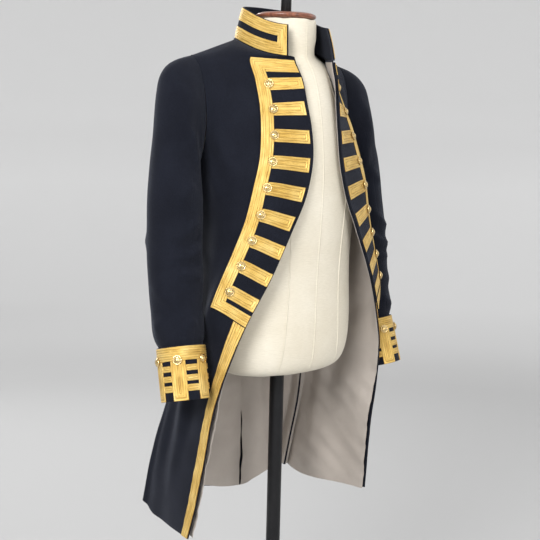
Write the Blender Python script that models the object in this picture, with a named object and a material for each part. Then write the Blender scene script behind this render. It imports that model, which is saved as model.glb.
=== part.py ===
"""A navy frock coat with gold lace, on a limbless dress form with a pole and a round base.

Units are metres and +Z is up.  The origin is on the floor, on the axis of the pole.  The coat
faces -Y, so the wearer's left side is at +X.  Each section below is written for that left
half, and the right half is its mirror image.
"""
import math

import bmesh
import bpy
from mathutils import Matrix, Vector
from mathutils.bvhtree import BVHTree

# ---------------------------------------------------------------- driving dimensions
CLOTH = 0.0020            # thickness of the navy broadcloth
LINING = 0.0010           # thickness of the lining
LACE = 0.0012             # thickness of the gold lace
GAP = 0.0003              # clearance between pieces that lie on or beside each other
LAPEL_GAP = 0.0016        # clearance under the turned-back lapel

LAPEL_BAND = 0.0255       # width of the lace band down the lapel's outer edge
LAPEL_TOP_BAND = 0.029    # height of the lace band along the lapel's top
LAPEL_FOOT_BAND = 0.020   # height of the lace band along its bottom
LAPEL_LOOP = 0.0245       # height of one lace loop
LAPEL_PITCH = 0.0498      # distance from loop to loop
LAPEL_FIRST = 0.0435      # top of the lapel to the top of the first loop
LAPEL_LAST = 0.0070       # navy space between the last loop and the bottom band
LAPEL_LOOPS = 9
LAPEL_RIM = 0.0015        # navy edge left outside the lace
LAPEL_INNER = (0.02, 0.07, 0.30, 0.56)   # places across the lapel inside its outer band
LAPEL_OUTER = (0.985, 1.0)
FULL_LOOPS = (1, 7, 8, 9)  # loops that run right to the coat's edge, counted from the top
BUTTON_COLUMN = 0.74      # line down the lapel along which the loops are spaced
BUTTON_REACH = 0.08       # places either side of a button over which its seat is levelled

SKIRT_LACE_COLUMNS = (0.02, 0.30)   # places of the skirt lace's two edges

COLLAR_SEAT = 0.0024      # height of its lower edge above the neck seam
COLLAR_HEIGHT = 0.058
COLLAR_LEAN = 0.0135      # how far the collar's top leans in over its seam
COLLAR_CLOTH = 0.0030
COLLAR_STEPS = (0.0, 0.021, 0.0335, 0.0565, 0.058)   # seam, lace, navy, lace, rim
COLLAR_END = 0.3          # place of the collar's front end along the neck seam

CUFF_TOP = Vector((0.254, -0.014, 0.933))
CUFF_BOTTOM = Vector((0.260, -0.039, 0.839))
CUFF_TOP_RADIUS = 0.0437
CUFF_BOTTOM_RADIUS = 0.0432
CUFF_CLOTH = 0.0022
CUFF_LOOP_ANGLES = (-84.0, -19.0, 42.0, 107.0)   # degrees, 0 outwards and 90 to the front
CUFF_LOOP_WIDTH = 36.0    # degrees
CUFF_STEPS = (0.0, 0.0015, 0.0265, 0.0345, 0.0455, 0.0525, 0.0635, 0.0695, 0.0815, 0.0975)
CUFF_OPEN_ROWS = (2, 4, 6, 8)   # rows of the cuff lace in which only the loops run on

BUTTON_RADIUS = 0.0085
BUTTON_HEIGHT = 0.0055

SLEEVE_SIDES = 20
SLEEVE_START = 0.0012     # distance from the armhole's edge to the sleeve's
VENT_COLUMN = 6.34        # edge of the right skirt, which laps over the left at the back vent
VENT_TOP = 4.5            # row at which the back vent opens
PLEAT_DEPTH = 0.022       # depth of the side pleat at the hem
PLEAT_TOP = 5.0           # row at which the side pleats start
PLEAT_WIDTH = 0.13

POLE_RADIUS = 0.014
BASE_RADIUS = 0.170
BASE_HEIGHT = 0.018
FORM_BOTTOM = 0.860
NECK_TOP = 1.532
NECK_CENTRE = Vector((0, -0.002, 0))
NECK_RADIUS = 0.0575
NECK_START = 1.445        # height from which the form is at least as wide as its neck
FORM_SIDES = 24
FORM_CLEARANCE = 0.0030   # level distance kept between the form and the coat's inner side

# Half sections of the coat's outer face, hem first.  Columns: front edge, lapel line, chest,
# side, side seam, shoulder blade, centre back.
SECTIONS = (
    ((.242, -.027, .570), (.2245, .048, .568), (.211, .095, .567), (.2045, .135, .570),
     (.190, .174, .588), (.100, .130, .602), (0, .112, .588)),
    ((.232, -.041, .647), (.2220, .035, .650), (.211, .078, .652), (.2040, .118, .657),
     (.188, .155, .665), (.099, .130, .666), (0, .112, .655)),
    ((.224, -.054, .730), (.2165, .022, .733), (.209, .055, .735), (.2000, .094, .738),
     (.183, .132, .742), (.098, .129, .736), (0, .114, .728)),
    ((.220, -.069, .815), (.2090, .007, .818), (.204, .037, .817), (.1950, .070, .816),
     (.174, .113, .815), (.095, .127, .812), (0, .118, .810)),
    ((.201, -.090, .905), (.2030, -.014, .920), (.196, .018, .912), (.1840, .054, .904),
     (.159, .098, .896), (.090, .124, .892), (0, .121, .890)),
    ((.175, -.1005, .970), (.2165, -.0535, 1.0055), (.198, -.008, .988), (.183, .032, .976),
     (.149, .090, .966), (.085, .120, .962), (0, .121, .960)),
    ((.1255, -.1175, 1.065), (.1855, -.069, 1.095), (.192, -.035, 1.082), (.179, .015, 1.069),
     (.144, .084, 1.060), (.083, .115, 1.058), (0, .117, 1.056)),
    ((.088, -.1215, 1.137), (.162, -.077, 1.160), (.181, -.043, 1.150), (.177, .011, 1.138),
     (.152, .082, 1.130), (.087, .119, 1.130), (0, .119, 1.130)),
    ((.0515, -.1225, 1.208), (.147, -.080, 1.220), (.170, -.051, 1.212), (.178, .003, 1.204),
     (.167, .070, 1.198), (.096, .128, 1.198), (0, .127, 1.198)),
)

# The same above the armpit, where the armhole parts the front from the back.  Columns: front
# edge, lapel line, chest, side, armhole angle (0 at its lowest point), shoulder blade, centre
# back.
UPPER_SECTIONS = (
    ((.0365, -.121, 1.270), (.132, -.0775, 1.273), (.161, -.055, 1.268), (.176, -.015, 1.262),
     0, (.100, .134, 1.262), (0, .134, 1.262)),
    ((.0345, -.1145, 1.325), (.120, -.066, 1.325), (.151, -.043, 1.322), (.171, -.018, 1.319),
     66, (.100, .138, 1.318), (0, .138, 1.320)),
    ((.039, -.104, 1.378), (.110, -.050, 1.370), (.142, -.025, 1.369), (.165, -.007, 1.366),
     94, (.100, .134, 1.370), (0, .136, 1.370)),
    ((.0435, -.0955, 1.418), (.105, -.032, 1.413), (.135, -.009, 1.412), (.161, .004, 1.409),
     120, (.098, .122, 1.412), (0, .129, 1.415)),
    ((.0505, -.081, 1.4535), (.100, -.0135, 1.457), (.130, .008, 1.457), (.159, .019, 1.452),
     150, (.094, .098, 1.452), (0, .113, 1.460)),
)

# The neck seam, from the front edge to the shoulder seam and on to the centre back.
NECK_FRONT = ((.051, -.080, 1.458), (.0635, -.071, 1.459), (.0715, -.049, 1.462),
              (.079, -.025, 1.4675), (.084, .008, 1.478), (.085, .045, 1.493))
NECK_BACK = ((.085, .045, 1.493), (.070, .068, 1.4965), (.040, .082, 1.499), (0, .087, 1.500))

# The armhole is a tall ellipse; its top is the outer end of the shoulder seam.
ARMHOLE_TOP = Vector((.190, .050, 1.456))
ARMHOLE_BOTTOM = Vector((.180, .050, 1.255))
ARMHOLE_HALF_DEPTH = 0.043

# Rings of the sleeve below the armhole.  Columns: outer point (x, z), inner point (x, z),
# centre y, half depth, rise of the front point.
SLEEVE_RINGS = (
    ((.207, 1.4545), (.1830, 1.252), .0485, .0455, .000),
    ((.225, 1.449), (.1845, 1.248), .0470, .0480, .000),
    ((.242, 1.438), (.1858, 1.243), .0450, .0480, .000),
    ((.254, 1.424), (.1868, 1.237), .0420, .0470, .000),
    ((.2615, 1.400), (.1876, 1.230), .0395, .0470, .000),
    ((.268, 1.365), (.1880, 1.222), .0365, .0475, .000),
    ((.2745, 1.322), (.1880, 1.212), .0330, .0480, .001),
    ((.285, 1.258), (.1888, 1.200), .0285, .0497, .003),
    ((.2925, 1.190), (.1910, 1.180), .0235, .0505, .005),
    ((.297, 1.130), (.1960, 1.126), .0180, .0505, .0055),
    ((.300, 1.062), (.2000, 1.058), .0095, .0500, .006),
    ((.299, 1.002), (.2040, .998), .0020, .0475, .009),
    ((.298, .947), (.2105, .941), -.0105, .0437, .0115),
)

# Body of the dress form, bottom first.  Columns: height, half width, front y, back y, y of the
# widest point, squareness of the rounded section.
FORM_SECTIONS = (
    (.860, .118, -.072, .082, .005, 2.3), (.866, .138, -.088, .098, .005, 2.3),
    (.885, .155, -.099, .108, .005, 2.3), (.930, .165, -.104, .113, .005, 2.3),
    (1.000, .161, -.104, .109, .003, 2.3), (1.060, .153, -.105, .104, .000, 2.3),
    (1.130, .155, -.110, .107, .000, 2.3), (1.200, .163, -.115, .117, .005, 2.3),
    (1.265, .169, -.116, .124, .015, 2.3), (1.325, .172, -.110, .128, .030, 2.2),
    (1.375, .173, -.101, .127, .042, 2.0), (1.412, .173, -.090, .120, .048, 1.8),
    (1.438, .171, -.078, .112, .048, 1.5), (1.452, .165, -.066, .104, .048, 1.25),
    (1.462, .157, -.060, .098, .047, 1.1), (1.471, .133, -.057, .092, .045, 1.0),
    (1.479, .110, -.056, .084, .045, 1.0), (1.487, .084, -.056, .074, .040, 1.1),
    (1.496, .062, -.056, .056, .000, 2.0), (1.510, .058, -.056, .055, .000, 2.0),
    (1.532, .0575, -.056, .055, .000, 2.0),
)

FRONT_COLUMNS = (0, .3, .65, 1, 1.35, 1.7, 2, 2.5, 3, 3.4, 3.7, 3.87, 4)
BACK_COLUMNS = (4, 4.13, 4.3, 4.6, 5, 5.33, 5.66, 6)
ROWS = (0, .75, 1.5, 2.25, 3, 3.75, 4.5, 5, 5.5, 6, 6.5, 7, 7.5, 8, 8.5, 9, 9.5, 10, 10.5, 11,
        11.5, 12, 12.5, 13, 13.5, 14)
TOP_ROW = 14
ARMPIT_ROW = 9
LINING_TOP = 6            # row up to which the skirts are lined right across
SIDE_LINING = (8, 2.5)    # row and column up to which the fronts are lined above that
FACING_COLUMN = .65       # above it only the strip along the front edge is lined

NAVY = (0.010, 0.012, 0.021, 1)
GOLD_LACE = (0.60, 0.36, 0.075, 1)
BRASS = (0.80, 0.58, 0.24, 1)
CREAM = (0.62, 0.58, 0.50, 1)
LINEN = (0.70, 0.65, 0.54, 1)
WOOD = (0.16, 0.055, 0.03, 1)
BLACK = (0.012, 0.012, 0.013, 1)


# ---------------------------------------------------------------- curves
def tangent(before, here, after):
    """Direction of a smooth curve at a point between two others."""
    first = (here - before).length
    second = (after - here).length
    slope = (here - before) / first * second + (after - here) / second * first
    return slope / (first + second)


def end_tangent(end, following, slope_there):
    """Direction at the end of a smooth curve."""
    return 1.5 * (following - end) / (following - end).length - 0.5 * slope_there


def hermite(start, stop, start_slope, stop_slope, t):
    """Point at t on the smooth curve from start to stop."""
    length = (stop - start).length
    return (start * (2 * t ** 3 - 3 * t ** 2 + 1) + stop * (3 * t ** 2 - 2 * t ** 3)
            + start_slope * length * (t ** 3 - 2 * t ** 2 + t)
            + stop_slope * length * (t ** 3 - t ** 2))


def curve(points, position):
    """Point on a smooth curve through the points, one unit of position apart."""
    last = len(points) - 1
    i = min(max(int(position), 0), last - 1)
    slopes = {}
    for k in (i, i + 1):
        if 0 < k < last:
            slopes[k] = tangent(points[k - 1], points[k], points[k + 1])
    if i == 0:
        slopes[0] = end_tangent(points[0], points[1], slopes[1])
    if i + 1 == last:
        slopes[last] = -end_tangent(points[last], points[i], -slopes[i])
    return hermite(points[i], points[i + 1], slopes[i], slopes[i + 1], position - i)


def smooth(t):
    """Ease from 0 to 1."""
    t = min(max(t, 0.0), 1.0)
    return t * t * (3 - 2 * t)


# ---------------------------------------------------------------- the coat's body surface
def armhole(degrees, to_front):
    """Point on the armhole, measured from its lowest point."""
    angle = math.radians(degrees)
    side = -1 if to_front else 1
    point = (ARMHOLE_TOP + ARMHOLE_BOTTOM) / 2
    point -= (ARMHOLE_TOP - ARMHOLE_BOTTOM) / 2 * math.cos(angle)
    return point + Vector((0, side * ARMHOLE_HALF_DEPTH * math.sin(angle), 0))


def column_points(name):
    """Control points of one lengthwise line of the coat, hem first."""
    order = ("edge", "lapel", "chest", "side", "seam", "blade", "centre")
    k = order.index(name)
    points = [Vector(row[k]) for row in SECTIONS + UPPER_SECTIONS]
    neck = [Vector(p) for p in NECK_FRONT]
    corner = neck[-1]
    last = {"edge": neck[0], "lapel": curve(neck, 2.5), "chest": corner,
            "side": (corner + ARMHOLE_TOP) / 2, "blade": corner, "centre": Vector(NECK_BACK[-1])}
    return points + [last[name]]


SEAM = [Vector(row[4]) for row in SECTIONS] + [ARMHOLE_BOTTOM]
ARMHOLE_ANGLES = [row[4] for row in UPPER_SECTIONS] + [180]
LINES = {name: column_points(name) for name in ("edge", "lapel", "chest", "side")}
LINES.update({name: column_points(name) for name in ("blade", "centre")})


def seam_point(row, to_front):
    """Side seam below the armpit, and the armhole above it."""
    if row <= ARMPIT_ROW:
        return curve(SEAM, row)
    i = min(int(row) - ARMPIT_ROW, len(ARMHOLE_ANGLES) - 2)
    share = row - ARMPIT_ROW - i
    angle = ARMHOLE_ANGLES[i] * (1 - share) + ARMHOLE_ANGLES[i + 1] * share
    return armhole(angle, to_front)


def mirrored(point):
    return Vector((-point.x, point.y, point.z))


def level(row, to_front):
    """Control points of one whole level, with the seam as this panel has it."""
    names = ("edge", "lapel", "chest", "side")
    points = [curve(LINES[name], row) for name in names]
    points.append(seam_point(row, to_front))
    points += [curve(LINES[name], row) for name in ("blade", "centre")]
    points.append(mirrored(points[-2]))
    return points


def level_curve(column, row, to_front):
    """Point on a level, before the pleats and the neckline."""
    points = level(row, to_front)
    i = min(int(column), 5)
    if i == 4 and to_front:
        i = 3
    slopes = {}
    for k in (i, i + 1):
        if k > 0:
            slopes[k] = tangent(points[k - 1], points[k], points[k + 1])
    if i == 0:
        slopes[0] = (points[1] - points[0]).normalized()
    parted = smooth(row - ARMPIT_ROW)
    if i == 3:
        alone = -end_tangent(points[4], points[3], -slopes[3])
        slopes[4] = slopes[4].lerp(alone, parted)
    if i == 4:
        alone = end_tangent(points[4], points[5], slopes[5])
        slopes[4] = slopes[4].lerp(alone, parted)
    return hermite(points[i], points[i + 1], slopes[i], slopes[i + 1], column - i)


def top_edge(column):
    """The upper edge of the panels: the neck seam and the straight shoulder seam."""
    neck = [Vector(p) for p in NECK_FRONT]
    if column <= 2:
        return curve(neck, column * 2.5)
    if column <= 4:
        return neck[-1].lerp(ARMHOLE_TOP, (column - 2) / 2)
    if column <= 5:
        return ARMHOLE_TOP.lerp(neck[-1], column - 4)
    return curve([Vector(p) for p in NECK_BACK], (column - 5) * 3)


def pleat(column, row):
    """Outward move of the cloth at the side pleat, negative in its fold."""
    depth = PLEAT_DEPTH * smooth((PLEAT_TOP - row) / PLEAT_TOP * 1.3)
    away = abs(column - 4)
    fold = math.exp(-(away / PLEAT_WIDTH) ** 2)
    crest = math.exp(-((away - 0.30) / 0.16) ** 2)
    return depth * (0.35 * crest - fold)


PLEAT_DIRECTION = Vector((0.62, 0.78, 0))


def cloth(column, row, to_front, lapped=False):
    """Point on the outer face of the coat's body."""
    inside = min(column, 12 - column)
    point = level_curve(inside, row, to_front)
    if row > TOP_ROW - 1:
        move = top_edge(inside) - level_curve(inside, TOP_ROW, to_front)
        point += move * (row - TOP_ROW + 1) ** 2
    point += PLEAT_DIRECTION * pleat(inside, row)
    if column > 6:
        point.x = -point.x
    if lapped:
        share = smooth((column - 5.3) / 0.6) * smooth((VENT_TOP + 0.9 - row) / 0.9)
        point.y += (CLOTH + 4 * GAP) * share
    return point


def cloth_normal(column, row, to_front, lapped=False):
    """Outward direction of the coat's body."""
    step = 0.02
    low, high = (0, 4) if to_front else (4, 6.3)
    if row <= ARMPIT_ROW:
        low, high = 0, 6.3
    left = max(column - step, low)
    right = min(column + step, high)
    below = max(row - step, 0)
    above = min(row + step, TOP_ROW)
    across = (cloth(right, row, right < 4 or to_front and row > ARMPIT_ROW, lapped)
              - cloth(left, row, left < 4 or to_front and row > ARMPIT_ROW, lapped))
    upward = cloth(column, above, to_front, lapped) - cloth(column, below, to_front, lapped)
    normal = across.cross(upward)
    on_shoulder = row > TOP_ROW - 0.1 and 2 <= column <= 5
    if on_shoulder:
        seam = ARMHOLE_TOP - Vector(NECK_FRONT[-1])
        normal = Vector((0, -1, 0)).cross(seam)
        normal.x = abs(normal.x)
        normal.z = abs(normal.z)
    if abs(column - 6) < 0.01:
        normal.x = 0
    return normal.normalized()


# ---------------------------------------------------------------- building solids
def new_object(name, mesh, colour, roughness, metallic):
    material = bpy.data.materials.new(name + "_finish")
    material.use_nodes = True
    shader = material.node_tree.nodes["Principled BSDF"]
    shader.inputs["Base Color"].default_value = colour
    shader.inputs["Roughness"].default_value = roughness
    shader.inputs["Metallic"].default_value = metallic
    mesh.materials.append(material)
    thing = bpy.data.objects.new(name, mesh)
    bpy.context.scene.collection.objects.link(thing)
    return thing


def finish_mesh(name, bm, smooth_shaded=True):
    bmesh.ops.recalc_face_normals(bm, faces=bm.faces)
    mesh = bpy.data.meshes.new(name)
    bm.to_mesh(mesh)
    bm.free()
    if smooth_shaded:
        mesh.shade_smooth()
        mesh.set_sharp_from_angle(angle=math.radians(35))
    return mesh


def wall_mesh(name, outer, inner, covered, closed=False):
    """Closed wall between two grids of points, on the cells that are covered.

    A grid is a list of lines of points, and closed says that its last line joins its first.
    """
    bm = bmesh.new()
    lines = len(outer)
    cells_across = lines if closed else lines - 1
    made = {}

    def vertex(face, i, j):
        i %= lines
        if (face, i, j) not in made:
            grid = outer if face == 0 else inner
            made[face, i, j] = bm.verts.new(grid[i][j])
        return made[face, i, j]

    def is_covered(i, j):
        if closed:
            i %= lines
        if not (0 <= i < cells_across and 0 <= j < len(outer[0]) - 1):
            return False
        return covered(i, j)

    def side(i, j, k, m):
        first, second = vertex(0, i, j), vertex(0, k, m)
        third, fourth = vertex(1, k, m), vertex(1, i, j)
        bm.faces.new((first, second, third))
        bm.faces.new((first, third, fourth))

    for i in range(cells_across):
        for j in range(len(outer[0]) - 1):
            if not is_covered(i, j):
                continue
            for face in (0, 1):
                corners = [vertex(face, i, j), vertex(face, i + 1, j),
                           vertex(face, i + 1, j + 1), vertex(face, i, j + 1)]
                if face:
                    corners.reverse()
                    corners = corners[3:] + corners[:3]
                bm.faces.new((corners[0], corners[1], corners[2]))
                bm.faces.new((corners[0], corners[2], corners[3]))
            if not is_covered(i, j - 1):
                side(i + 1, j, i, j)
            if not is_covered(i, j + 1):
                side(i, j + 1, i + 1, j + 1)
            if not is_covered(i - 1, j):
                side(i, j, i, j + 1)
            if not is_covered(i + 1, j):
                side(i + 1, j + 1, i + 1, j)
    return finish_mesh(name, bm)


def for_side(point, hand):
    """The point on the left side, or mirrored on the right side."""
    return point if hand == "left" else mirrored(point)


def moved(points, normals, distance, hand):
    """A grid of points moved out along their normals, on the left or the right."""
    grid = []
    for line, directions in zip(points, normals):
        grid.append([for_side(p + n * distance, hand) for p, n in zip(line, directions)])
    return grid


def layer(name, points, normals, low, high, hand, covered=lambda i, j: True, closed=False):
    """Mesh of a layer of cloth between two distances from a surface."""
    outer = moved(points, normals, high, hand)
    inner = moved(points, normals, low, hand)
    return wall_mesh(name, outer, inner, covered, closed)


# ---------------------------------------------------------------- fronts and backs
def trimmed(values, first, last):
    """The values with the two ends moved in by seam allowances."""
    values = [float(v) for v in values]
    values[0] += first
    values[-1] -= last
    return values


def panel_grid(columns, rows, to_front, lapped=False):
    points = [[cloth(c, r, to_front, lapped) for r in rows] for c in columns]
    normals = [[cloth_normal(c, r, to_front, lapped) for r in rows] for c in columns]
    return points, normals


def add_front(hand):
    columns = trimmed(FRONT_COLUMNS, 0, 0.004)
    rows = trimmed(ROWS, 0, 0.006)
    points, normals = panel_grid(columns, rows, True)
    mesh = layer("front_" + hand, points, normals, -CLOTH, 0, hand)
    new_object("front_" + hand, mesh, NAVY, 0.85, 0)

    def lined(i, j):
        row, column = ROWS[j + 1], FRONT_COLUMNS[i + 1]
        beside = row <= SIDE_LINING[0] and column <= SIDE_LINING[1]
        return row <= LINING_TOP or column <= FACING_COLUMN or beside

    points = [line[:-2] for line in points]
    normals = [line[:-2] for line in normals]
    low = -CLOTH - GAP - LINING
    mesh = layer("front_lining_" + hand, points, normals, low, low + LINING, hand, lined)
    new_object("front_lining_" + hand, mesh, CREAM, 0.75, 0)


def add_back(hand):
    lapped = hand == "right"
    columns = trimmed(BACK_COLUMNS, 0.002, 0.002)
    if lapped:
        columns.append(VENT_COLUMN)
    rows = trimmed(ROWS, 0, 0.006)
    points, normals = panel_grid(columns, rows, False, lapped)

    def covered(i, j):
        return i < len(BACK_COLUMNS) - 1 or ROWS[j + 1] <= VENT_TOP

    mesh = layer("back_" + hand, points, normals, -CLOTH, 0, hand, covered)
    new_object("back_" + hand, mesh, NAVY, 0.85, 0)

    def lined(i, j):
        return i < len(BACK_COLUMNS) - 1 and ROWS[j + 1] <= LINING_TOP

    low = -CLOTH - GAP - LINING
    mesh = layer("back_lining_" + hand, points, normals, low, low + LINING, hand, lined)
    new_object("back_lining_" + hand, mesh, CREAM, 0.75, 0)


# ---------------------------------------------------------------- lapels and skirt lace
def lapel_rows():
    """Distances down the lapel of its lace edges, and what each space holds."""
    edges = [0, LAPEL_RIM, LAPEL_RIM + LAPEL_TOP_BAND]
    kinds = ["rim", "band"]
    for k in range(LAPEL_LOOPS):
        start = LAPEL_FIRST + k * LAPEL_PITCH
        edges += [start, start + LAPEL_LOOP]
        kinds += ["space", "full loop" if k + 1 in FULL_LOOPS else "loop"]
    start = edges[-1] + LAPEL_LAST
    edges += [start, start + LAPEL_FOOT_BAND, start + LAPEL_FOOT_BAND + LAPEL_RIM]
    kinds += ["space", "band", "rim"]
    return edges, kinds


def band_column(row):
    """Place across the lapel of the inner edge of its outer band."""
    width = (cloth(1, row, True) - cloth(0, row, True)).length
    return 1 - LAPEL_BAND / width


def lapel_levels(edges):
    """Rows of the coat at the given distances down the lapel's line of buttons."""
    top, bottom = TOP_ROW - 1, PLEAT_TOP
    count = 160
    rows = [top + (bottom - top) * k / count for k in range(count + 1)]
    path = [cloth(BUTTON_COLUMN, r, True) for r in rows]
    walked = [0.0]
    for before, after in zip(path, path[1:]):
        walked.append(walked[-1] + (after - before).length)
    scale = walked[-1] / edges[-1]
    levels = []
    for edge in edges:
        target = edge * scale
        k = next((n for n, w in enumerate(walked) if w >= target), count)
        k = max(k, 1)
        share = (target - walked[k - 1]) / (walked[k] - walked[k - 1])
        levels.append(rows[k - 1] + (rows[k] - rows[k - 1]) * share)
    return levels


def add_lapel(hand):
    edges, kinds = lapel_rows()
    levels = lapel_levels(edges)
    count = len(LAPEL_INNER) + 1 + len(LAPEL_OUTER)
    points = [[] for _ in range(count)]
    normals = [[] for _ in range(count)]
    for row in levels:
        for i, column in enumerate(LAPEL_INNER + (band_column(row),) + LAPEL_OUTER):
            points[i].append(cloth(column, row, True))
            normals[i].append(cloth_normal(column, row, True))
    low = LAPEL_GAP
    mesh = layer("lapel_" + hand, points, normals, low, low + CLOTH, hand)
    new_object("lapel_" + hand, mesh, NAVY, 0.85, 0)

    def laced(i, j):
        if kinds[j] == "rim" or i == count - 2:
            return False
        if i == 0:
            return kinds[j] in ("band", "full loop")
        return kinds[j] != "space" or i == len(LAPEL_INNER)

    low += CLOTH + GAP
    mesh = layer("lapel_lace_" + hand, points, normals, low, low + LACE, hand, laced)
    new_object("lapel_lace_" + hand, mesh, GOLD_LACE, 0.45, 0.6)

    places = []
    seat = low + LACE + 2 * GAP
    for j, kind in enumerate(kinds):
        if "loop" in kind:
            row = (levels[j] + levels[j + 1]) / 2
            column = band_column(row)
            across = (cloth(column + BUTTON_REACH, row, True)
                      - cloth(column - BUTTON_REACH, row, True))
            upward = cloth(column, levels[j], True) - cloth(column, levels[j + 1], True)
            normal = across.cross(upward).normalized()
            point = cloth(column, row, True) + normal * seat
            places.append((for_side(point, hand), for_side(normal, hand)))
    return places


def add_skirt_lace(hand):
    rows = [r for r in ROWS if r <= PLEAT_TOP]
    rows = trimmed(rows, 0.01, 0.08)
    points, normals = panel_grid(SKIRT_LACE_COLUMNS, rows, True)
    mesh = layer("skirt_lace_" + hand, points, normals, 3 * GAP, 3 * GAP + LACE, hand)
    new_object("skirt_lace_" + hand, mesh, GOLD_LACE, 0.45, 0.6)


# ---------------------------------------------------------------- collar
def collar_grid():
    """Stations round the collar from the right end to the left end, and steps up it."""
    half = [c for c in FRONT_COLUMNS if COLLAR_END <= c <= 2]
    half += [c for c in BACK_COLUMNS if c > 5]
    stations = [for_side(top_edge(c), "right") for c in half[:-1]]
    stations += [top_edge(c) for c in reversed(half)]
    centre = Vector((0, 0.005, 0))
    points = []
    for seat in stations:
        inward = centre - Vector((seat.x, seat.y, 0))
        inward = inward.normalized() * COLLAR_LEAN
        rise = math.sqrt(COLLAR_HEIGHT ** 2 - COLLAR_LEAN ** 2)
        slant = (inward + Vector((0, 0, rise))) / COLLAR_HEIGHT
        start = seat + Vector((0, 0, COLLAR_SEAT))
        points.append([start + slant * step for step in COLLAR_STEPS])
    normals = []
    for i, line in enumerate(points):
        ahead = points[min(i + 1, len(points) - 1)][0]
        behind = points[max(i - 1, 0)][0]
        around = ahead - behind
        around.z = 0
        outward = (line[-1] - line[0]).cross(around).normalized()
        if outward.dot(line[0] - centre) < 0:
            outward.negate()
        normals.append([outward] * len(line))
    return points, normals


def add_collar():
    points, normals = collar_grid()
    mesh = layer("collar", points, normals, -COLLAR_CLOTH, 0, "left")
    new_object("collar", mesh, NAVY, 0.85, 0)
    rim = 0.10
    lace_points = [list(line) for line in points]
    for end, beside in ((0, 1), (-1, -2)):
        for k, point in enumerate(points[end]):
            lace_points[end][k] = point.lerp(points[beside][k], rim)

    def laced(i, j):
        at_end = i in (0, len(points) - 2)
        return j in (0, 2) or (j == 1 and at_end)

    mesh = layer("collar_lace", lace_points, normals, GAP, GAP + LACE, "left", laced)
    new_object("collar_lace", mesh, GOLD_LACE, 0.45, 0.6)


# ---------------------------------------------------------------- sleeves and cuffs
def cuff_frame():
    """Length, axis, outward and forward directions of the cuff."""
    axis = CUFF_BOTTOM - CUFF_TOP
    length = axis.length
    axis.normalize()
    outward = (Vector((1, 0, 0)) - axis * axis.x).normalized()
    forward = axis.cross(outward)
    if forward.y > 0:
        forward.negate()
    return length, axis, outward, forward


def cuff_point(degrees, down, inset=0.0):
    """Point on the cuff's outer face, or that far inside it."""
    length, axis, outward, forward = cuff_frame()
    share = down / length
    radius = CUFF_TOP_RADIUS * (1 - share) + CUFF_BOTTOM_RADIUS * share - inset
    angle = math.radians(degrees)
    spoke = outward * math.cos(angle) + forward * math.sin(angle)
    return CUFF_TOP + axis * down + spoke * radius


def sleeve_ring(ring, degrees):
    """Point on one ring of the sleeve, 0 outwards and 90 to the front."""
    (out_x, out_z), (in_x, in_z), centre_y, half, rise = ring
    angle = math.radians(degrees)
    centre = Vector(((out_x + in_x) / 2, centre_y, (out_z + in_z) / 2))
    spread = Vector(((out_x - in_x) / 2, 0, (out_z - in_z) / 2)) * math.cos(angle)
    return centre + spread + Vector((0, -half, rise)) * math.sin(angle)


def sleeve_line(degrees):
    """One lengthwise line of the sleeve, armhole first."""
    inside_cuff = CUFF_CLOTH + 2 * GAP + 0.0006
    length = cuff_frame()[0]
    line = [armhole(180 - degrees, True) + Vector((SLEEVE_START, 0, 0))]
    line += [sleeve_ring(ring, degrees) for ring in SLEEVE_RINGS]
    line.append(cuff_point(degrees, -0.001, inside_cuff))
    line.append(cuff_point(degrees, length - 0.001, inside_cuff))
    return line


def sleeve_normals(angles, grid):
    """Outward directions of the sleeve's surface."""
    normals = []
    for k, degrees in enumerate(angles):
        before = sleeve_line(degrees - 4)
        after = sleeve_line(degrees + 4)
        opposite = sleeve_line(degrees + 180)
        line = grid[k]
        directions = []
        for j, point in enumerate(line):
            down = line[min(j + 1, len(line) - 1)] - line[max(j - 1, 0)]
            normal = down.cross(after[j] - before[j]).normalized()
            if normal.dot(point - opposite[j]) < 0:
                normal.negate()
            directions.append(normal)
        normals.append(directions)
    return normals


def add_sleeve(hand):
    seam = 0.25
    for name, start in (("topsleeve_", -90), ("undersleeve_", 90)):
        half = SLEEVE_SIDES // 2
        angles = [start + 180 * k / half for k in range(half + 1)]
        angles = trimmed(angles, seam, seam)
        points = [sleeve_line(a) for a in angles]
        normals = sleeve_normals(angles, points)
        mesh = layer(name + hand, points, normals, -CLOTH, 0, hand)
        new_object(name + hand, mesh, NAVY, 0.85, 0)


def cuff_angles():
    """Angles round the cuff, and which spaces between them lie under a loop."""
    angles = []
    looped = []
    half = CUFF_LOOP_WIDTH / 2
    for k, centre in enumerate(CUFF_LOOP_ANGLES):
        angles += [centre - half, centre]
        looped += [True, True]
        last = k == len(CUFF_LOOP_ANGLES) - 1
        following = CUFF_LOOP_ANGLES[0] + 360 if last else CUFF_LOOP_ANGLES[k + 1]
        start = centre + half
        stop = following - half
        pieces = 6 if last else 2
        angles += [start + (stop - start) * m / pieces for m in range(pieces)]
        looped += [False] * pieces
    return angles, looped


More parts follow.
